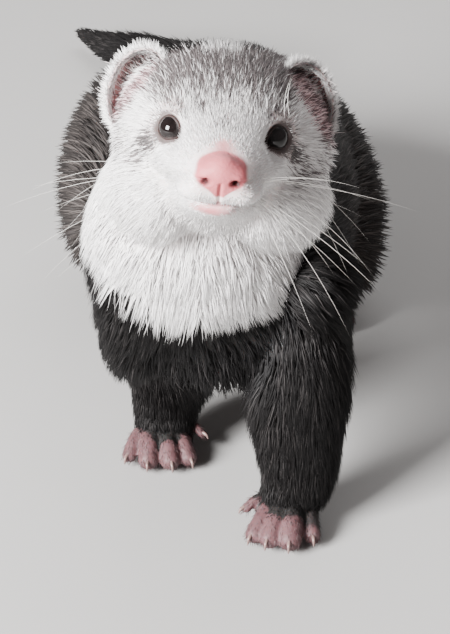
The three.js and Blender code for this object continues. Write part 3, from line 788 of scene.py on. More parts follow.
def dark_on_head(points, local):
    x, s, h = local.T
    ax = np.abs(x)
    streak = 0.5 + 0.5 * waves(local * vec(1, 0.12, 0.12), 3.4, 5)
    patch = 1 - ease(np.abs(x + 1.4 + 0.8 * waves(local, 6, 8)), 3.4, 5.8)
    patch = patch * ease(s, 38, 43) * (1 - ease(s, 59, 64))
    reach = np.interp(s, [20, 28, 38], [12, 15.5, 20]) + 1.5 * waves(local, 12, 7)
    crown = ease(s + 8 * (streak - 0.5), 17, 32) * ease(h, 3, 9) * (1 - ease(ax, reach - 3, reach + 2))
    crown = 0.9 * crown * (1 - 0.95 * patch)
    nape = np.maximum(ease(s, 56, 68) * ease(h, -10, 2), ease(s, 68, 76) * ease(h, -32, -22))
    nape = nape * (1 - ease(ax, 15, 24))
    temple = 0.4 * spot((ax, 25, 3.0), (s, 41, 6)) * ease(h, -12, -2) * (1 - ease(h, 13, 18))
    mark, fade = smudge_at(local)
    brow = 0.45 * spot((ax, 15.5, 3), (s, 26, 3.5), (h, 11.2, 1.5))
    bridge = 0.35 * spot((x, 0, 2.2), (s, 13.5, 2.4)) * (h > 5)
    zone = ear_zone(local)[0]
    d = np.sqrt((ax - EYE_CENTRE[0]) ** 2 + (s - EYE_CENTRE[1]) ** 2 + (h - EYE_CENTRE[2]) ** 2)
    lash = 0.65 * spot((d, 5.3, 1.0)) * ease(ax - EYE_CENTRE[0] + h - EYE_CENTRE[2], -3, 1)
    top = np.maximum(crown, 0.96 * nape) * (1 - zone) + 0.62 * zone
    return np.clip(top + temple * (1 - zone) + mark + fade + brow + bridge + lash, 0, 1), crown


def dark_share(points, region):
    """How much of the hair rooted at each place is dark, from 0 to 1."""
    x, y, z = points.T
    head, crown = dark_on_head(points, to_head(points))
    body = 1 - ease(bib_edge(points), -2.5, 2.5)
    nape = ease(y + 0.35 * (z - 100), 30, 44) * (1 - ease(np.abs(x + 4), 18, 30))
    neck = np.maximum(np.maximum(body, 0.94 * nape), crown)
    paw = np.where(region == "toe", ease(z + 0.3 * waves(points, 5, 9), 9.3, 10.2), ease(z, 4.5, 6.5))
    paw = np.where(region == "foreleg", 1.0, paw)
    paw = np.maximum(paw, ease(x, 22.3, 23.3) * (y < 2) * ease(y, -17.5, -15.5) * 0.95)
    uneven = y + 3 * waves(points, 9, 10)
    foot = np.maximum(np.where(x < 0, ease(uneven, 166, 178), ease(uneven, 140, 152)), 0.6)
    dark = np.where(region == "head", head, np.ones(len(points)))
    dark = np.where(np.isin(region, ("neck", "shoulder", "trunk")), neck, dark)
    dark = np.where(np.isin(region, ("foreleg", "palm", "toe")) & (y < 60), paw, dark)
    return np.where(np.isin(region, ("hind_foot", "palm", "toe")) & (y >= 60), foot, dark)


def undercoat_share(points, region):
    """How much of the pale undercoat shows: most on the flanks and haunches, least on the legs and tail."""
    x, y, z = points.T
    flank = ease(y, 40, 90) * (1 - ease(y, 205, 225))
    low = 1 - 0.45 * ease(z, 60, 95)
    share = 0.75 * flank * low
    return np.where(np.isin(region, ("trunk", "thigh")), share, 0.10)


def coat_colours(points, region, draw):
    """Colour at the root and the tip of hair rooted at each place."""
    n = len(points)
    dark = dark_share(points, region)
    pick = draw.uniform(size=n)
    is_dark = pick < dark
    tone = draw.uniform(0.82, 1.08, size=n)[:, None]
    # The white hair's root colour is darker and pinker than its tip. This is painted shade between the
    # strands, with a painted pink reflection in it.
    shaded_white_root = WHITE * np.minimum(tone, 1.0) * vec(0.84, 0.765, 0.76)
    white_tip = WHITE * np.minimum(tone * 1.06, 1.1)
    pale = undercoat_share(points, region)
    streak = (draw.uniform(size=n) < 0.10 + 0.15 * pale).astype(float)
    tuft = 0.5 + 0.5 * waves(points, 9, 12)
    sable_root = mix(SABLE * 1.6, CREAM, pale * 0.7) * tone
    sable_tip = mix(SABLE, mix(SABLE_PALE * 2.0, CREAM, pale), streak * (0.3 + 0.5 * tuft)) * tone
    local = to_head(points)
    smudge = smudge_at(local)[0][:, None]
    roan = (region == "head").astype(float)
    sable_root = mix(sable_root, mix(WHITE, ROAN, 0.86), roan)
    sable_tip = mix(sable_tip, ROAN * draw.uniform(0.35, 1.5, size=n)[:, None] * (1 - 0.78 * smudge), roan)
    feet = np.isin(region, ("palm", "toe")).astype(float)
    shaded_white_root = mix(shaded_white_root, shaded_white_root * vec(0.10, 0.06, 0.064), feet)
    mottle = (0.5 + 0.5 * waves(points, 1.9, 21)) * draw.uniform(0.7, 1.1, size=n)
    toe_tip = mix(TOE_PINK * 0.35, WHITE * vec(0.25, 0.175, 0.18), np.clip(mottle, 0, 1))
    white_tip = mix(white_tip, toe_tip, feet)
    root = np.where(is_dark[:, None], sable_root, shaded_white_root)
    tip = np.where(is_dark[:, None], sable_tip, white_tip)
    zone = roan * ear_zone(local)[0]
    tip = mix(tip, tip * vec(0.95, 0.74, 0.76), zone)
    root = mix(root, root * vec(0.8, 0.5, 0.53), zone)
    return root, tip


def nose_pad(x, s, h):
    """1 on the bare pad of the nose, in the head's frame: widest at the nostrils, narrow under them."""
    wide = np.interp(h, [-6, -4.6, -3.2, -2.0, -0.5, 2.5, 5, 8], [0.8, 1.5, 3.2, 5.4, 6.7, 6.3, 5.2, 4.2])
    return (1 - ease(np.abs(x) / wide, 0.92, 1.1)) * (1 - ease(s, 4.6, 6.4)) * ease(h, -5.6, -4.8)


def skin_colours(points, region):
    local = to_head(points)
    x, s, h = local.T
    gap = h - mouth_height(s)
    head, feet = region == "head", np.isin(region, ("toe", "palm")).astype(float)
    dark = dark_share(points, region) * np.where(head, 0.3, 1.0)
    sable = mix(SABLE_PALE * 0.6, CREAM * 0.7, undercoat_share(points, region) * 0.8)
    colour = mix(mix(mix(WHITE * 0.9, PINK_SKIN, 0.35), TOE_PINK, feet), sable, dark)
    nose = head * nose_pad(x, s, h)
    bridge = head * 0.8 * spot((x, 0, 3.4)) * (1 - ease(s, 8, 13)) * (h > 2)
    colour = mix(colour, PINK, np.clip(nose + bridge, 0, 1))
    lip = head * spot((gap, -2.0, 2.3), (x, -2.0, 6.6)) * (s > -3) * (s < 14)
    colour = mix(colour, PINK, lip * 0.9)
    # Painted shade: a dark line along the crease of the mouth.
    colour = mix(colour, PINK * 0.35, head * spot((gap, 0, 0.35)) * (s < 20) * (h < -5))
    for side in (1, -1):
        pit = spot((x, side * 4.0, 1.15), (h, -1.3, 0.8)) * (s < 6) * (s > -1)
        red = spot((x, side * 3.9, 2.2), (h, -1.6, 1.7)) * (s < 6)
        colour = mix(colour, NOSTRIL_RED, 0.55 * red * head)
        # Painted shade: the nostril openings are painted nearly black inside their pits.
        colour = mix(colour, PINK * 0.10, np.clip(1.5 * pit, 0, 1) * head)
        outer = ease((x * side - EYE_CENTRE[0]) - 0.6 * (h - EYE_CENTRE[2]), -2, 3)
        shade = head * (1 - ease(eye_distance(local, side), 4.6 + 0.6 * outer, 5.4 + 1.6 * outer)) * 0.85
        colour = mix(colour, LID_DARK * 2.2, shade)
    colour = mix(colour, ROAN, head * smudge_at(local)[0] * 0.35)
    zone, low = ear_zone(local)
    mauve = mix(PINK_SKIN * vec(0.62, 0.55, 0.60), EAR_PINK, low)
    return mix(colour, mauve, head * zone * 0.9)


# Materials


RELIEF_HEIGHT = 0.0004
RELIEF_SCALE = 1300


def material(name, colour=None, attribute=None, rough=0.5, detail=0.0, detail_scale=900, bump=0.0, **sockets):
    """detail is how far noise lightens and darkens the colour, and bump how strong the relief is."""
    made = bpy.data.materials.new(name)
    made.use_nodes = True
    nodes, links = made.node_tree.nodes, made.node_tree.links
    shader = nodes["Principled BSDF"]
    shader.inputs["Roughness"].default_value = rough
    for key, value in sockets.items():
        shader.inputs[key.replace("_", " ")].default_value = value
    coordinate = nodes.new("ShaderNodeTexCoord")

    def noise(scale, fineness):
        texture = nodes.new("ShaderNodeTexNoise")
        texture.inputs["Scale"].default_value = scale
        texture.inputs["Detail"].default_value = fineness
        links.new(coordinate.outputs["Object"], texture.inputs["Vector"])
        return texture.outputs["Fac"]

    if attribute:
        source = nodes.new("ShaderNodeAttribute")
        source.attribute_name = attribute
        out = source.outputs["Color"]
    else:
        out = nodes.new("ShaderNodeRGB").outputs[0]
        out.default_value = (*colour, 1)
    if detail:
        ramp = nodes.new("ShaderNodeMapRange")
        ramp.inputs["To Min"].default_value = 1 - detail
        ramp.inputs["To Max"].default_value = 1 + detail
        links.new(noise(detail_scale, 4), ramp.inputs["Value"])
        tint = nodes.new("ShaderNodeVectorMath")
        tint.operation = "SCALE"
        links.new(out, tint.inputs[0])
        links.new(ramp.outputs["Result"], tint.inputs["Scale"])
        out = tint.outputs["Vector"]
    links.new(out, shader.inputs["Base Color"])
    if bump:
        relief = nodes.new("ShaderNodeBump")
        relief.inputs["Strength"].default_value = bump
        relief.inputs["Distance"].default_value = RELIEF_HEIGHT
        links.new(noise(RELIEF_SCALE, 5), relief.inputs["Height"])
        links.new(relief.outputs["Normal"], shader.inputs["Normal"])
    return made


FUR = material("fur", attribute="Coat", rough=0.62, detail=0.10, detail_scale=260, Specular_IOR_Level=0.16)
SKIN = material(
    "skin", attribute="Coat", rough=0.5, detail=0.14, detail_scale=420, bump=0.35,
    Specular_IOR_Level=0.24, Subsurface_Weight=0.12, Subsurface_Scale=0.002,
)
EYE = material(
    "eye", colour=(0.006, 0.004, 0.004), rough=0.05, detail=0.4, detail_scale=700, Specular_IOR_Level=0.42
)
CLAW = material("claw", colour=(0.19, 0.12, 0.11), rough=0.32, detail=0.2, detail_scale=1200)
WHISKER = material("whisker", colour=(0.75, 0.72, 0.68), rough=0.35, detail=0.1, detail_scale=500)
FLOOR = material("floor", colour=(0.40, 0.392, 0.385), rough=0.85, detail=0.02, detail_scale=30)


def paint(mesh, colours):
    attribute = mesh.attributes.new("Coat", "FLOAT_COLOR", "POINT")
    data = np.ones((len(colours), 4), np.float32)
    data[:, :3] = colours
    attribute.data.foreach_set("color", data.ravel())


# Hair. A tuft is a thin closed blade with three sides, wide at its root and a point at its tip.


def blades(name, lines, width, root_colour, tip_colour, uv, side_hint, look=None, soft=0.0, slot=None):
    """lines is tufts by points along by 3, in millimetres. soft turns the shading normals to the skin's."""
    n, m, _ = lines.shape
    ahead = np.empty_like(lines)
    ahead[:, 1:-1] = lines[:, 2:] - lines[:, :-2]
    ahead[:, 0] = lines[:, 1] - lines[:, 0]
    ahead[:, -1] = lines[:, -1] - lines[:, -2]
    ahead = unit(ahead)
    side = unit(np.cross(ahead, side_hint[:, None]))
    up = np.cross(side, ahead)
    t = np.linspace(0, 1, m)
    taper = (1 - t**2.2) * (1.0 if m == 2 else 0.6 + 0.4 * np.minimum(1, t / 0.25))
    rings = m - 1
    half = (width[:, None] * taper[None] / 2)[:, :rings, None]
    middle, across, rise = lines[:, :rings], side[:, :rings] * half, up[:, :rings] * half
    body = np.stack([middle - across, middle + across, middle + rise], 2).reshape(n, rings * 3, 3)
    points = np.concatenate([body, lines[:, -1:]], 1)
    per = rings * 3 + 1
    edges = ((0, 1), (1, 2), (2, 0))
    quads = [(a + p, a + p + 3, a + q + 3, a + q) for a in range(0, 3 * (rings - 1), 3) for p, q in edges]
    last = (rings - 1) * 3
    tris = [(0, 1, 2)] + [(last + q, last + p, per - 1) for p, q in edges]
    quads, tris = np.array(quads, np.int32).reshape(-1, 4), np.array(tris, np.int32)
    starts = (np.arange(n, dtype=np.int32) * per)[:, None, None]
    all_quads = (quads[None] + starts).reshape(-1, 4)
    all_tris = (tris[None] + starts).reshape(-1, 3)
    mesh = bpy.data.meshes.new(name)
    mesh.vertices.add(n * per)
    mesh.vertices.foreach_set("co", place(points.reshape(-1, 3)).ravel())
    corners = np.concatenate([all_quads.ravel(), all_tris.ravel()])
    mesh.loops.add(len(corners))
    mesh.loops.foreach_set("vertex_index", corners)
    count = len(all_quads) + len(all_tris)
    first = np.concatenate([np.arange(len(all_quads)) * 4, len(all_quads) * 4 + np.arange(len(all_tris)) * 3])
    mesh.polygons.add(count)
    mesh.polygons.foreach_set("loop_start", first.astype(np.int32))
    mesh.polygons.foreach_set("use_smooth", np.ones(count, bool))
    mesh.update(calc_edges=True)
    along = np.append(np.repeat(t[:rings], 3), 1.0)
    blend = ease(along, 0.05, 0.8)[None, :, None]
    colours = root_colour[:, None] * (1 - blend) + tip_colour[:, None] * blend
    paint(mesh, colours.reshape(-1, 3))
    sideways = np.append(np.tile([-1.0, 1.0, 0.0], rings), 0.0)
    patch = np.stack([sideways * 0.0015, (along - 0.5) * 0.003], 1)
    flat_uv = (uv[:, None] + patch[None]).reshape(-1, 2)
    layer = mesh.uv_layers.new(name="OFBake")
    layer.data.foreach_set("uv", flat_uv[corners].astype(np.float32).ravel())
    mesh.materials.append(look or FUR)
    if soft:
        own = mesh_normals(mesh)
        skin_way = np.repeat(side_hint, per, axis=0)
        shading = unit(own * (1 - soft) + skin_way * soft)
        mesh.normals_split_custom_set_from_vertices(shading.astype(np.float32))
    made = linked(name, mesh)
    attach(made, "root")
    triangles = len(all_quads) * 2 + len(all_tris)
    print(name, n, "tufts", triangles, "triangles")
    return triangles


def grow(roots, normals, lie, length, lift_root, lift_tip, points_along, draw, stray=0.18, curl=0.0):
    """Lines that leave the skin at lift_root and lie down to lift_tip, in radians."""
    n = len(roots)
    lie = unit(lie - normals * (lie * normals).sum(1)[:, None])
    side = np.cross(normals, lie)
    swing = draw.normal(0, stray, size=n)[:, None]
    lie = unit(lie * np.cos(swing) + side * np.sin(swing))
    side = np.cross(normals, lie)
    t = (np.arange(points_along - 1) + 0.5) / (points_along - 1)
    angle = lift_root[:, None] + (lift_tip - lift_root)[:, None] * t[None] ** 0.8
    bend = (draw.normal(0, 1, size=n) * curl)[:, None] * t[None]
    steps = (
        lie[:, None] * (np.cos(angle) * np.cos(bend))[..., None]
        + normals[:, None] * np.sin(angle)[..., None]
        + side[:, None] * (np.cos(angle) * np.sin(bend))[..., None]
    )
    step = (length / (points_along - 1))[:, None, None]
    lines = np.empty((n, points_along, 3))
    lines[:, 0] = roots - normals * 0.5
    lines[:, 1:] = lines[:, :1] + np.cumsum(steps * step, 1)
    return lines


CELL_UNIT = 1.4
CELL_STEP = 1.3


def clumped(lines, cell, amount, draw, power=1.4):
    """Hairs rooted in one patch draw together towards their tips. Patches come in steps of size."""
    roots = lines[:, 0]
    level = np.round(np.log(cell / CELL_UNIT) / math.log(CELL_STEP))
    cell = CELL_UNIT * CELL_STEP**level
    key = np.column_stack([level, np.floor(roots / cell[:, None] + draw.uniform(0, 1, 3))]).astype(int)
    _, group = np.unique(key, axis=0, return_inverse=True)
    group = group.ravel()
    count = np.bincount(group)
    t = np.linspace(0, 1, lines.shape[1])[None, :, None] ** power
    centre = np.stack([
        np.stack([np.bincount(group, lines[:, k, c]) / count for c in range(3)], 1)
        for k in range(lines.shape[1])
    ], 1)
    return lines + (centre[group] - lines) * t * amount[:, None, None]


def keep_off_floor(lines, draw):
    floor = 0.4 + draw.uniform(0, 0.8, size=lines.shape[0])[:, None]
    lines[..., 2] = np.maximum(lines[..., 2], floor)
    return lines


class Surface:
    """Triangles of a mesh, to root hair on."""

    def __init__(self, mesh):
        mesh.calc_loop_triangles()
        self.tri = read(mesh.loop_triangles, "vertices", 3, int)
        self.points = mesh_points(mesh)
        self.normals = mesh_normals(mesh)
        a, b, c = (self.points[self.tri[:, k]] for k in range(3))
        self.area = np.linalg.norm(np.cross(b - a, c - a), axis=1) / 2
        self.middle = (a + b + c) / 3

    def scatter(self, weight, count, draw):
        p = self.area * weight
        p = p / p.sum()
        picked = draw.choice(len(p), size=count, p=p)
        r1, r2 = np.sqrt(draw.uniform(size=count)), draw.uniform(size=count)
        self.share = np.stack([1 - r1, r1 * (1 - r2), r1 * r2], 1)
        self.at = self.tri[picked]
        return self.between(self.points), unit(self.between(self.normals))

    def between(self, values):
        """Values of the points of the mesh, at the places scattered last."""
        share = self.share[..., None] if values.ndim > 1 else self.share
        return (values[self.at] * share).sum(1)

    def nearest(self, values):
        return values[self.at[np.arange(len(self.at)), self.share.argmax(1)]]

    def smoothed(self, values, rounds):
        pairs = np.vstack([self.tri[:, [0, 1]], self.tri[:, [1, 2]], self.tri[:, [2, 0]]])
        count = np.bincount(pairs.ravel(), minlength=len(self.points))[:, None]
        values = values if values.ndim > 1 else values[:, None]
        for _ in range(rounds):
            total = np.stack([
                np.bincount(pairs[:, 0], column[pairs[:, 1]], len(self.points))
                + np.bincount(pairs[:, 1], column[pairs[:, 0]], len(self.points))
                for column in values.T
            ], 1)
            values = 0.3 * values + 0.7 * total / np.maximum(count, 1)
        return values if values.shape[1] > 1 else values[:, 0]


def length_at(points, region):
    """Length of the hair, in millimetres."""
    local = to_head(points)
    s, h, aside = local[:, 1], local[:, 2], np.abs(local[:, 0])
    x, y, z = points.T
    head = np.interp(s, [4, 10, 18, 28, 40, 55, 70], [1.9, 2.6, 3.6, 4.9, 6.5, 8.5, 10])
    cheek = ease(aside, 11, 25) * ease(-h, -5, 9) * ease(s, 17, 36)
    head = head + 6.0 * cheek + 4.5 * ease(-h, 9, 20) * ease(s, 17, 34)
    head = head * (1 - 0.45 * ear_zone(local)[0])
    for side in (1, -1):
        head = head * (0.34 + 0.66 * ease(eye_distance(local, side), 4.6, 8.5))
    neck = 17 - 9.5 * ease(h, -18, -2) - 5 * ease(y, 20, 50)
    neck = neck - 5.5 * ease(z, 86, 108) * ease(np.abs(x + 5), 12, 24)
    lengths = {
        "head": head,
        "neck": np.maximum(neck, 6),
        "shoulder": 14,
        "trunk": 15 - 3.5 * ease(z, 48, 72) - 3 * ease(-z, -30, -8) - 5 * (1 - ease(y, 10, 40)),
        "foreleg": np.interp(z, [8, 16, 30, 50, 65], [3.2, 7.5, 11, 14, 15]),
        "thigh": np.interp(z, [8, 20, 40, 60], [7, 11, 13.5, 12]),
        "tail": np.interp(y, [215, 240, 290, 318, 340, 352, 364], [15, 16, 18, 15, 8, 5.5, 4]),
        "hind_foot": 3.2 + 3 * ease(y - 28 * (x < 0), 138, 156),
        "palm": 3.4,
        "toe": 2.7,
    }
    out = np.full(len(points), 3.0)
    for name, value in lengths.items():
        out = np.where(region == name, value, out)
    return out


def bare_skin(points, normals, region):
    """1 where no hair grows."""
    local = to_head(points)
    x, s, h = local.T
    head = region == "head"
    nose = 1.6 * nose_pad(x, s, h)
    bridge = 1.2 * spot((x, 0, 3.0)) * (1 - ease(s, 6.5, 11)) * (h > 2)
    gap = h - mouth_height(s)
    lips = 1.05 * np.exp(-np.abs((gap + 1.9) / 2.0) ** 3 - np.abs((x + 2.0) / 5.6) ** 3) * (s < 12)
    lips = lips + ((gap > -0.1) & (np.abs(x) < 0.7) & (h < -4)) * (s < 5)
    bare = head * np.clip(nose + bridge + lips + 0.55 * ear_zone(local)[0], 0, 1)
    for side in (1, -1):
        _, f, r, angle = round_eye(local, side)
        bare = np.maximum(bare, head * (r < LID_EDGE_RADIUS * np.sin(angle) + 0.15) * (f > -2))
    sole = (points[:, 2] < 1.2) & (normals[:, 2] < -0.4)
    return np.maximum(bare, sole)


def lie_at(points, flow, region):
    """Which way hair lies: along the limbs, and on the head away from the eyes and out before the ears."""
    local = to_head(points)
    x, s, h = local.T
    head = (region == "head")[:, None].astype(float)
    down = ease(np.abs(x), 8, 22) * ease(-h, -10, 8)
    flow = flow + head * np.outer(down * 0.6, -HEAD_AXES[2])
    radial = unit(np.stack([x, np.zeros(len(x)), h + 3], 1)) @ HEAD_AXES
    jowl = ease(np.hypot(x, h + 3), 9, 22) * ease(-h, -7, 5) * ease(s, 9, 22)
    flow = flow + head * radial * (1.2 * jowl)[:, None]
    zone, _ = ear_zone(local)
    outward = (np.outer(np.sign(x), vec(0.8, 0, 0)) + vec(0, -0.1, 0.5)) @ HEAD_AXES
    flow = flow + head * (outward * 2.2 - flow * 0.6) * zone[:, None]
    for side in (1, -1):
        away = local - EYE_CENTRE * vec(side, 1, 1)
        push = np.exp(-np.maximum(eye_distance(local, side) - 5, 0) / 2.0)
        flow = flow + head * (unit(away) @ HEAD_AXES) * (2.6 * push)[:, None]
    fan = np.outer((points[:, 0] + 6) * 0.022, vec(1, 0, 0)) + vec(0, -0.1, -0.25)
    flow = flow + (region == "neck")[:, None] * fan
    return unit(flow)


skin_mesh = build_skin()
body = Surface(skin_mesh)
flow_v, limb_v, t_v, angle_v = LIE.at_points(body.points)
colours = [skin_colours(body.points, REGION_OF[limb_v])]
shapes = []
ears = [ear_shape(side) for side in (1, -1)]
for points, faces, part in ears:
    shapes.append((points, faces))
    low = 1 - ease(to_head(points)[:, 2], 2, 12)
    inner = mix(PINK_SKIN * vec(0.66, 0.60, 0.64), EAR_PINK, low)
    outer = mix(inner, WHITE * 0.85, 0.6)
    colours.append(mix(outer, inner, np.clip(part, 0, 1)))
for side in (1, -1):
    points, faces = lid_shape(side)
    shapes.append((points, faces))
    ring = np.arange(len(points)) // LID_SIDES
    rosy = np.interp(ring, [0, 2, 4, 5], [0.0, 0.03, 0.35, 0.5])
    colours.append(mix(LID_DARK, PINK_SKIN * 0.13, rosy))
extra_points, extra_faces = joined_shapes(shapes)
extra = mesh_object("extra", extra_points, extra_faces)

skin = linked("skin", skin_mesh)
skin_mesh.polygons.foreach_set("use_smooth", [True] * len(skin_mesh.polygons))
both = [skin, extra]
with bpy.context.temp_override(
    active_object=skin, object=skin, selected_objects=both, selected_editable_objects=both
):
    bpy.ops.object.join()
points = mesh_points(skin.data)
skin.data.vertices.foreach_set("co", place(points).ravel())
paint(skin.data, np.vstack(colours))
skin.data.materials.clear()
skin.data.materials.append(SKIN)
skin.data.update()
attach(skin, "root")
FLESH = [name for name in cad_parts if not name.startswith("eye")]
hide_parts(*FLESH)
print("skin", len(skin.data.polygons), "faces")

# Eyes

for name, side in (("left", 1), ("right", -1)):
    out, up, forward, centre = eye_frame(side)
    points, faces = ball(vec(0, 0, 0), vec(1, 1, 1) * EYE_RADIUS, 40, 56)
    f = points[:, 2] / EYE_RADIUS
    points = points + np.outer(0.28 * spot((f, 1, 0.22)), vec(0, 0, 1))
    local = centre + np.outer(points[:, 0], out * side) + np.outer(points[:, 1], up)
    local = local + np.outer(points[:, 2], forward)
    eye = mesh_object("eyeball_" + name, place(from_head(local)), faces)
    eye.data.materials.append(EYE)
    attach(eye, "root")
    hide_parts("eye_" + name)

# Coat

FEW = 1.0
LIMIT = 190000  # triangles in one mesh
skin_region = REGION_OF[limb_v]
skin_lie = lie_at(body.points, flow_v, skin_region)
on_body = ease(to_head(body.points)[:, 1], 16, 40)[:, None]
for wide_area in [False] * 4 + [True] * 5:
    skin_lie = skin_lie - body.normals * (skin_lie * body.normals).sum(1)[:, None]
    skin_lie = unit(skin_lie)
    smoother = body.smoothed(skin_lie, 12 if wide_area else 6)
    skin_lie = skin_lie + (smoother - skin_lie) * (on_body if wide_area else 1)
skin_length = body.smoothed(length_at(body.points, skin_region), 14)
skin_length = skin_length + (body.smoothed(skin_length, 40) - skin_length) * on_body[:, 0]
middle_region = skin_region[body.tri[:, 0]]
middle_normal = unit(body.normals[body.tri].sum(1))
haired = 1 - np.clip(bare_skin(body.middle, middle_normal, middle_region), 0, 1)
coat_triangles = 0


def in_pieces(name, lines, width, root_colour, tip_colour, uv, normals, **rest):
    count, along = lines.shape[:2]
    batches = max(1, math.ceil(count * (6 * (along - 2) + 4) / LIMIT))
    total = 0
    for k, chosen in enumerate(np.array_split(np.arange(count), batches)):
        label = name if batches == 1 else f"{name}_{k + 1}"
        parts = (values[chosen] for values in (lines, width, root_colour, tip_colour, uv, normals))
        total += blades(label, *parts, **rest)
    return total


def coat(
    name, regions, count, along, wide, seed, slot,
    long=1.0, clump=1.0, weight=None, soft=0.5, stand=1.0, stray=0.15,
):
    """One layer of hair: count tufts, each with so many points along it, on the named regions of the skin."""
    draw = np.random.default_rng(seed)
    share = np.isin(middle_region, regions) * haired
    if weight is not None:
        share = share * weight(body.middle)
    count = int(count * FEW)
    roots, normals = body.scatter(share, count, draw)
    region, limb, t, angle = (body.nearest(values) for values in (skin_region, limb_v, t_v, angle_v))
    lie, full = unit(body.between(skin_lie)), body.between(skin_length)
    length = full * draw.uniform(0.72, 1.18, size=count) * long
    lift_root = np.radians(np.interp(full, [1, 4, 10, 18], [30, 36, 50, 58]))
    lift_root = lift_root * draw.uniform(0.85, 1.15, size=count) * stand
    lift_tip = np.radians(np.interp(full, [1, 4, 10, 18], [12, 10, 8, 2])) + draw.normal(0, 0.07, size=count)
    lines = grow(roots, normals, lie, length, lift_root, lift_tip, along, draw, stray=stray, curl=0.2)
    if clump and along > 2:
        shaggy = ease(full, 3, 13)
        lines = clumped(lines, 1.4 + full * 0.22, clump * (0.22 + 0.38 * shaggy), draw)
        lines = clumped(lines, 3.0 + full * 0.5, clump * 0.3 * shaggy, draw, 1.8)
    lines = keep_off_floor(lines, draw)
    slender = np.clip(full / 10, 0.25, 1.15)
    width = wide * (0.5 + 0.5 * slender) * draw.uniform(0.7, 1.25, size=count) / math.sqrt(FEW)
    root_colour, tip_colour = coat_colours(roots, region, draw)
    uv = unwrap(limb, t, angle)
    return in_pieces(name, lines, width, root_colour, tip_colour, uv, normals, soft=soft, slot=slot)


def denser_ahead(points):
    return np.interp(to_head(points)[:, 1], [0, 12, 25, 40, 70], [3.6, 2.8, 1.7, 1.0, 0.8])


# Each layer: name, regions, tufts, points along a tuft, width, seed, slot and what differs from the usual.
FEET = ("hind_foot", "palm", "toe")
FACE = dict(weight=denser_ahead)
LAYERS = (
    ("face_under", ("head",), 12000, 3, 0.6, 101, "white_coat", dict(FACE, long=0.85)),
    ("face_short", ("head",), 41000, 2, 0.3, 102, "white_coat", dict(FACE, long=0.8, soft=0.4)),
    ("face_long", ("head",), 17000, 3, 0.3, 103, "white_coat", dict(FACE, long=1.12, soft=0.35)),
    ("bib_under", ("neck",), 5000, 4, 0.85, 104, "white_coat", dict(long=0.9, stray=0.2)),
    ("bib", ("neck",), 17200, 3, 0.36, 114, "white_coat", dict(long=1.1, soft=0.4, stray=0.24)),
    ("chest_coat", ("shoulder",), 8500, 3, 0.45, 105, "dark_coat", dict(stand=0.85)),
    ("body_under", ("trunk",), 5500, 3, 1.1, 116, "body_coat", dict(long=0.85, clump=0.3, stand=0.7)),
    ("body_coat", ("trunk",), 14500, 3, 0.5, 106, "body_coat", dict(long=1.05, clump=0.45, stand=0.7)),
    ("foreleg_coat", ("foreleg",), 16500, 3, 0.38, 107, "dark_coat", dict(clump=0.65, stand=0.7)),
    ("haunch_coat", ("thigh",), 9500, 3, 0.66, 108, "body_coat", dict(clump=0.45, stand=0.75)),
    ("tail_coat", ("tail",), 8500, 3, 0.7, 109, "dark_coat", dict(clump=0.5, stand=0.85)),
    ("feet_coat", FEET, 12000, 2, 0.48, 110, "paw", dict(soft=0.2, stray=0.3)),
)
for *layer, differs in LAYERS:
    coat_triangles += coat(*layer, **differs)

# Ear hair: dense and fluffy on the back, the rim and the first third inside it, then thinner, dark and pale
# strands that lie out across the cup.


def ear_hair(side, points, faces, part, uv_cell):
    shell = mesh_object("shell", points, faces)
    surface = Surface(shell.data)
    bpy.data.objects.remove(shell)
    kind = part[surface.tri].mean(1)
    inside = (kind >= 1).astype(float)
    local = to_head(surface.middle)
    x, s, h = (local - EAR_CENTRE[side]).T
    medial = ease(-x * side, -5, 5)
    total = 0
    base = from_head(EAR_CENTRE[side] + vec(-7 * side, 4, -11))
    outward = unit(vec(0.78 * side, -0.25, 0.5)) @ HEAD_AXES
    for name, chosen, count, size, wide, seed, along in (
        ("back", (kind < 0.3) * 1.0, 5200, 2.6, 0.36, 1, 2),
        ("rim", (kind >= 0.3) * (kind < 0.95) + 0.9 * inside * ease(kind, 1.62, 1.8), 4200, 3.0, 0.34, 2, 2),
        ("cup", inside * (0.3 + medial) * (1 - 0.8 * ease(kind, 1.75, 1.9)), 1900, 5.2, 0.27, 3, 3),
    ):
        draw = np.random.default_rng(seed + 300 + 10 * side)
        count = int(count * FEW)
        roots, normals = surface.scatter(chosen, count, draw)
        lie = unit(roots - base)
        if name == "cup":
            lie = unit(lie * 0.35 + outward)
        length = size * draw.uniform(0.55, 1.2, size=count)
        lift = np.radians(np.full(count, 34.0)) * draw.uniform(0.6, 1.3, size=count)
        lines = grow(roots, normals, lie, length, lift, lift * 0.5, along, draw, stray=0.25)
        width = wide * draw.uniform(0.7, 1.2, size=count) / math.sqrt(FEW)
        # The white ear hairs' roots are darker and pinker than their tips. This is painted shade between the
        # strands.
        white = WHITE * draw.uniform(0.85, 1.08, size=count)[:, None]
        if name == "cup":
            offset = to_head(roots) - EAR_CENTRE[side]
            share = 0.35 + 0.45 * ease(-offset[:, 0] * side, -4, 3)
            dark = (draw.uniform(size=count) < share)[:, None]
            dark_tip = ROAN * draw.uniform(0.3, 1.0, size=count)[:, None]
            root_colour = np.where(dark, ROAN * 0.9, white * vec(0.8, 0.66, 0.65))
            tip_colour = np.where(dark, dark_tip, white * vec(0.95, 0.88, 0.88))
        else:
            root_colour, tip_colour = white * vec(0.85, 0.8, 0.79), white
        angle = np.arctan2(*(to_head(roots) - EAR_CENTRE[side])[:, [0, 2]].T)
        uv = uv_cell + np.stack([angle / 70, (to_head(roots)[:, 1] - 49) / 400], 1)
        label = f"ear_{'left' if side > 0 else 'right'}_{name}"
        total += blades(label, lines, width, root_colour, tip_colour, uv, normals, soft=0.5, slot="ear")
    return total


for side, (points, faces, part) in zip((1, -1), ears):
    coat_triangles += ear_hair(side, points, faces, part, vec(0.86 if side > 0 else 0.94, 0.95))

# Whiskers and brow hairs: long single hairs, thin, with a sweep and a droop.


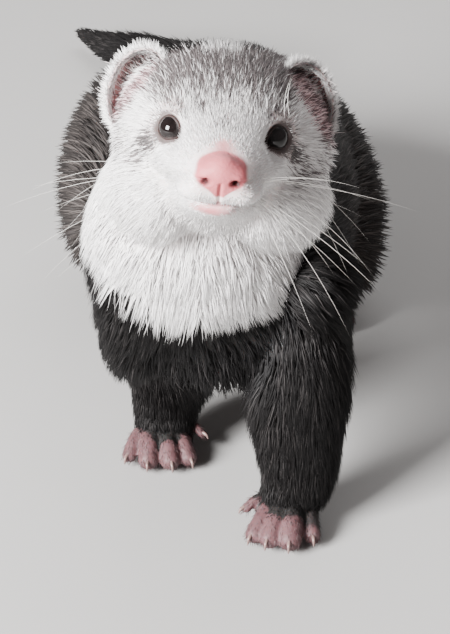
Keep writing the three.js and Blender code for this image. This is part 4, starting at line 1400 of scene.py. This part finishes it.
# Whiskers of one side: root across, back and up, length, and how far they rise in degrees.
WHISKER_ROWS = (
    (7.6, 8.0, -1.6, 30, 8), (8.6, 10.5, -2.4, 34, 4), (8.4, 8.5, -3.8, 37, -4), (9.6, 12, -4.2, 40, -10),
    (8.8, 10, -5.4, 38, -18), (9.8, 13.5, -5.6, 34, -26), (8.2, 8.8, -6.2, 30, -36),
    (9.6, 12.5, -6.8, 36, -42),
    (8.0, 6.6, -2.8, 24, 14), (9.2, 14, -3.0, 42, -2), (7.4, 7.0, -5.0, 26, -22), (9.0, 11, -7.4, 30, -56),
)
WHISKER_WIDTH = 0.16
BROW_WIDTH = 0.12
CHEEK_HAIR_LENGTH = 26


def single_hair(root, way, size, bend):
    t = np.linspace(0, 1, 10)[:, None]
    return from_head(root + way * t * size + t**2 * size * bend)


def whiskers():
    draw = np.random.default_rng(77)
    lines = []
    for side in (1, -1):
        for x, back, h, size, up in WHISKER_ROWS:
            up = math.radians(up + draw.normal(0, 4))
            sweep = math.radians(20 + draw.normal(0, 8))
            size = size * draw.uniform(1.0, 1.35)
            way = vec(side * math.cos(up) * math.cos(sweep), math.cos(up) * math.sin(sweep), math.sin(up))
            droop = draw.uniform(0.14, 0.46)
            back_bend = draw.uniform(0.0, 0.25)
            lines.append(single_hair(vec(x * side, back, h), way, size, vec(0, back_bend, -droop)))
    width = [WHISKER_WIDTH] * len(lines)
    for side in (1, -1):
        for k in range(2):
            way = unit(vec(side * draw.uniform(-0.3, 0.5), -draw.uniform(0.2, 0.5), 1))
            size = draw.uniform(13, 20)
            root = vec(side * (15.5 + 1.3 * k), 25.5 + 0.8 * k, 11.5)
            lines.append(single_hair(root, way, size, vec(side * 0.25, 0.5, -0.25)))
    for side in (1, -1):
        for k in range(3):
            way = unit(vec(side * 0.8, 0.35, -0.5 - 0.25 * k))
            root = vec(side * 24, 36 + 2.0 * k, -8 - 2.0 * k)
            lines.append(single_hair(root, way, CHEEK_HAIR_LENGTH, vec(0, 0.2, -0.25)))
    n = len(lines)
    width = np.array(width + [BROW_WIDTH] * (n - len(width)))
    hint, white = np.tile(vec(0.1, -0.6, 0.8), (n, 1)), np.tile(WHITE, (n, 1))
    uv = np.tile(vec(0.9, 0.9), (n, 1)) + draw.uniform(-0.02, 0.02, size=(n, 2))
    return blades("whiskers", np.array(lines), width, white, white, uv, hint, look=WHISKER, slot="white_coat")


coat_triangles += whiskers()
print("coat in all", coat_triangles)

# Claws


def claw_shapes():
    shapes = []
    for limb in TOES:
        tip, radius = limb.tip, limb.radius
        ahead = unit((limb.tip - limb.knuckle) * vec(1, 1, 0))
        root = tip + ahead * radius * 0.35 + vec(0, 0, radius * 0.42)
        bend = tip + ahead * (radius + 0.1) + vec(0, 0, radius * 0.2)
        end = tip + ahead * (radius + 0.65)
        end[2] = max(tip[2] - radius * 0.35, 1.0)
        rows = [(*root, 0.6, 0.7, 0.65, 0), (*bend, 0.46, 0.52, 0.46, 0), (*end, 0.18, 0.2, 0.18, 0)]
        rings = Limb("claw", rows, domes=(0.6, 0.2), power=2).rings(9, 10)
        shapes.append((rings.reshape(-1, 3), ring_faces(len(rings), 10)))
    return shapes


points, faces = joined_shapes(claw_shapes())
claws = mesh_object("claws", place(points), faces)
claws.data.materials.append(CLAW)
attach(claws, "root")

# Floor, light and camera

FLOOR_REACH = 3000
floor_corners = [(x * FLOOR_REACH, y * FLOOR_REACH, 0) for x, y in ((-1, -1), (1, -1), (1, 1), (-1, 1))]
floor = mesh_object("floor", place(floor_corners), [(0, 1, 2, 3)], False)
floor.data.materials.append(FLOOR)


def area_light(name, at, aim, size, power, colour=(1, 1, 1)):
    lamp = bpy.data.lights.new(name, "AREA")
    lamp.shape = "RECTANGLE"
    lamp.size, lamp.size_y = size
    lamp.energy = power
    lamp.color = colour
    made = linked(name, lamp)
    made.location = Vector(place(at))
    made.rotation_euler = (Vector(place(aim)) - Vector(place(at))).to_track_quat("-Z", "Y").to_euler()


area_light("key", (-950, -760, 640), (0, 20, 90), (0.6, 0.6), 122, (1, 0.995, 0.99))
area_light("fill", (900, -700, 500), (0, 30, 60), (2.4, 2.4), 2, (1, 0.86, 0.86))
area_light("back", (200, 1100, 900), (0, 100, 60), (1.0, 1.0), 12)

world = bpy.data.worlds.new("studio")
world.use_nodes = True
world.node_tree.nodes["Background"].inputs["Color"].default_value = (1, 0.945, 0.945, 1)
world.node_tree.nodes["Background"].inputs["Strength"].default_value = 0.225
bpy.context.scene.world = world

PHOTO_HEIGHT = 634
FOCAL_PIXELS = 2000
SENSOR_WIDTH = 36
CAMERA_PLACE = (0, -490, 350)
CAMERA_TILT = math.radians(60)

camera = linked("camera", bpy.data.cameras.new("camera"))
camera.data.sensor_width = SENSOR_WIDTH
camera.data.lens = FOCAL_PIXELS / PHOTO_HEIGHT * SENSOR_WIDTH
camera.data.clip_start = 0.02
camera.location = Vector(place(CAMERA_PLACE))
camera.rotation_euler = (CAMERA_TILT, 0, 0)
bpy.context.scene.camera = camera
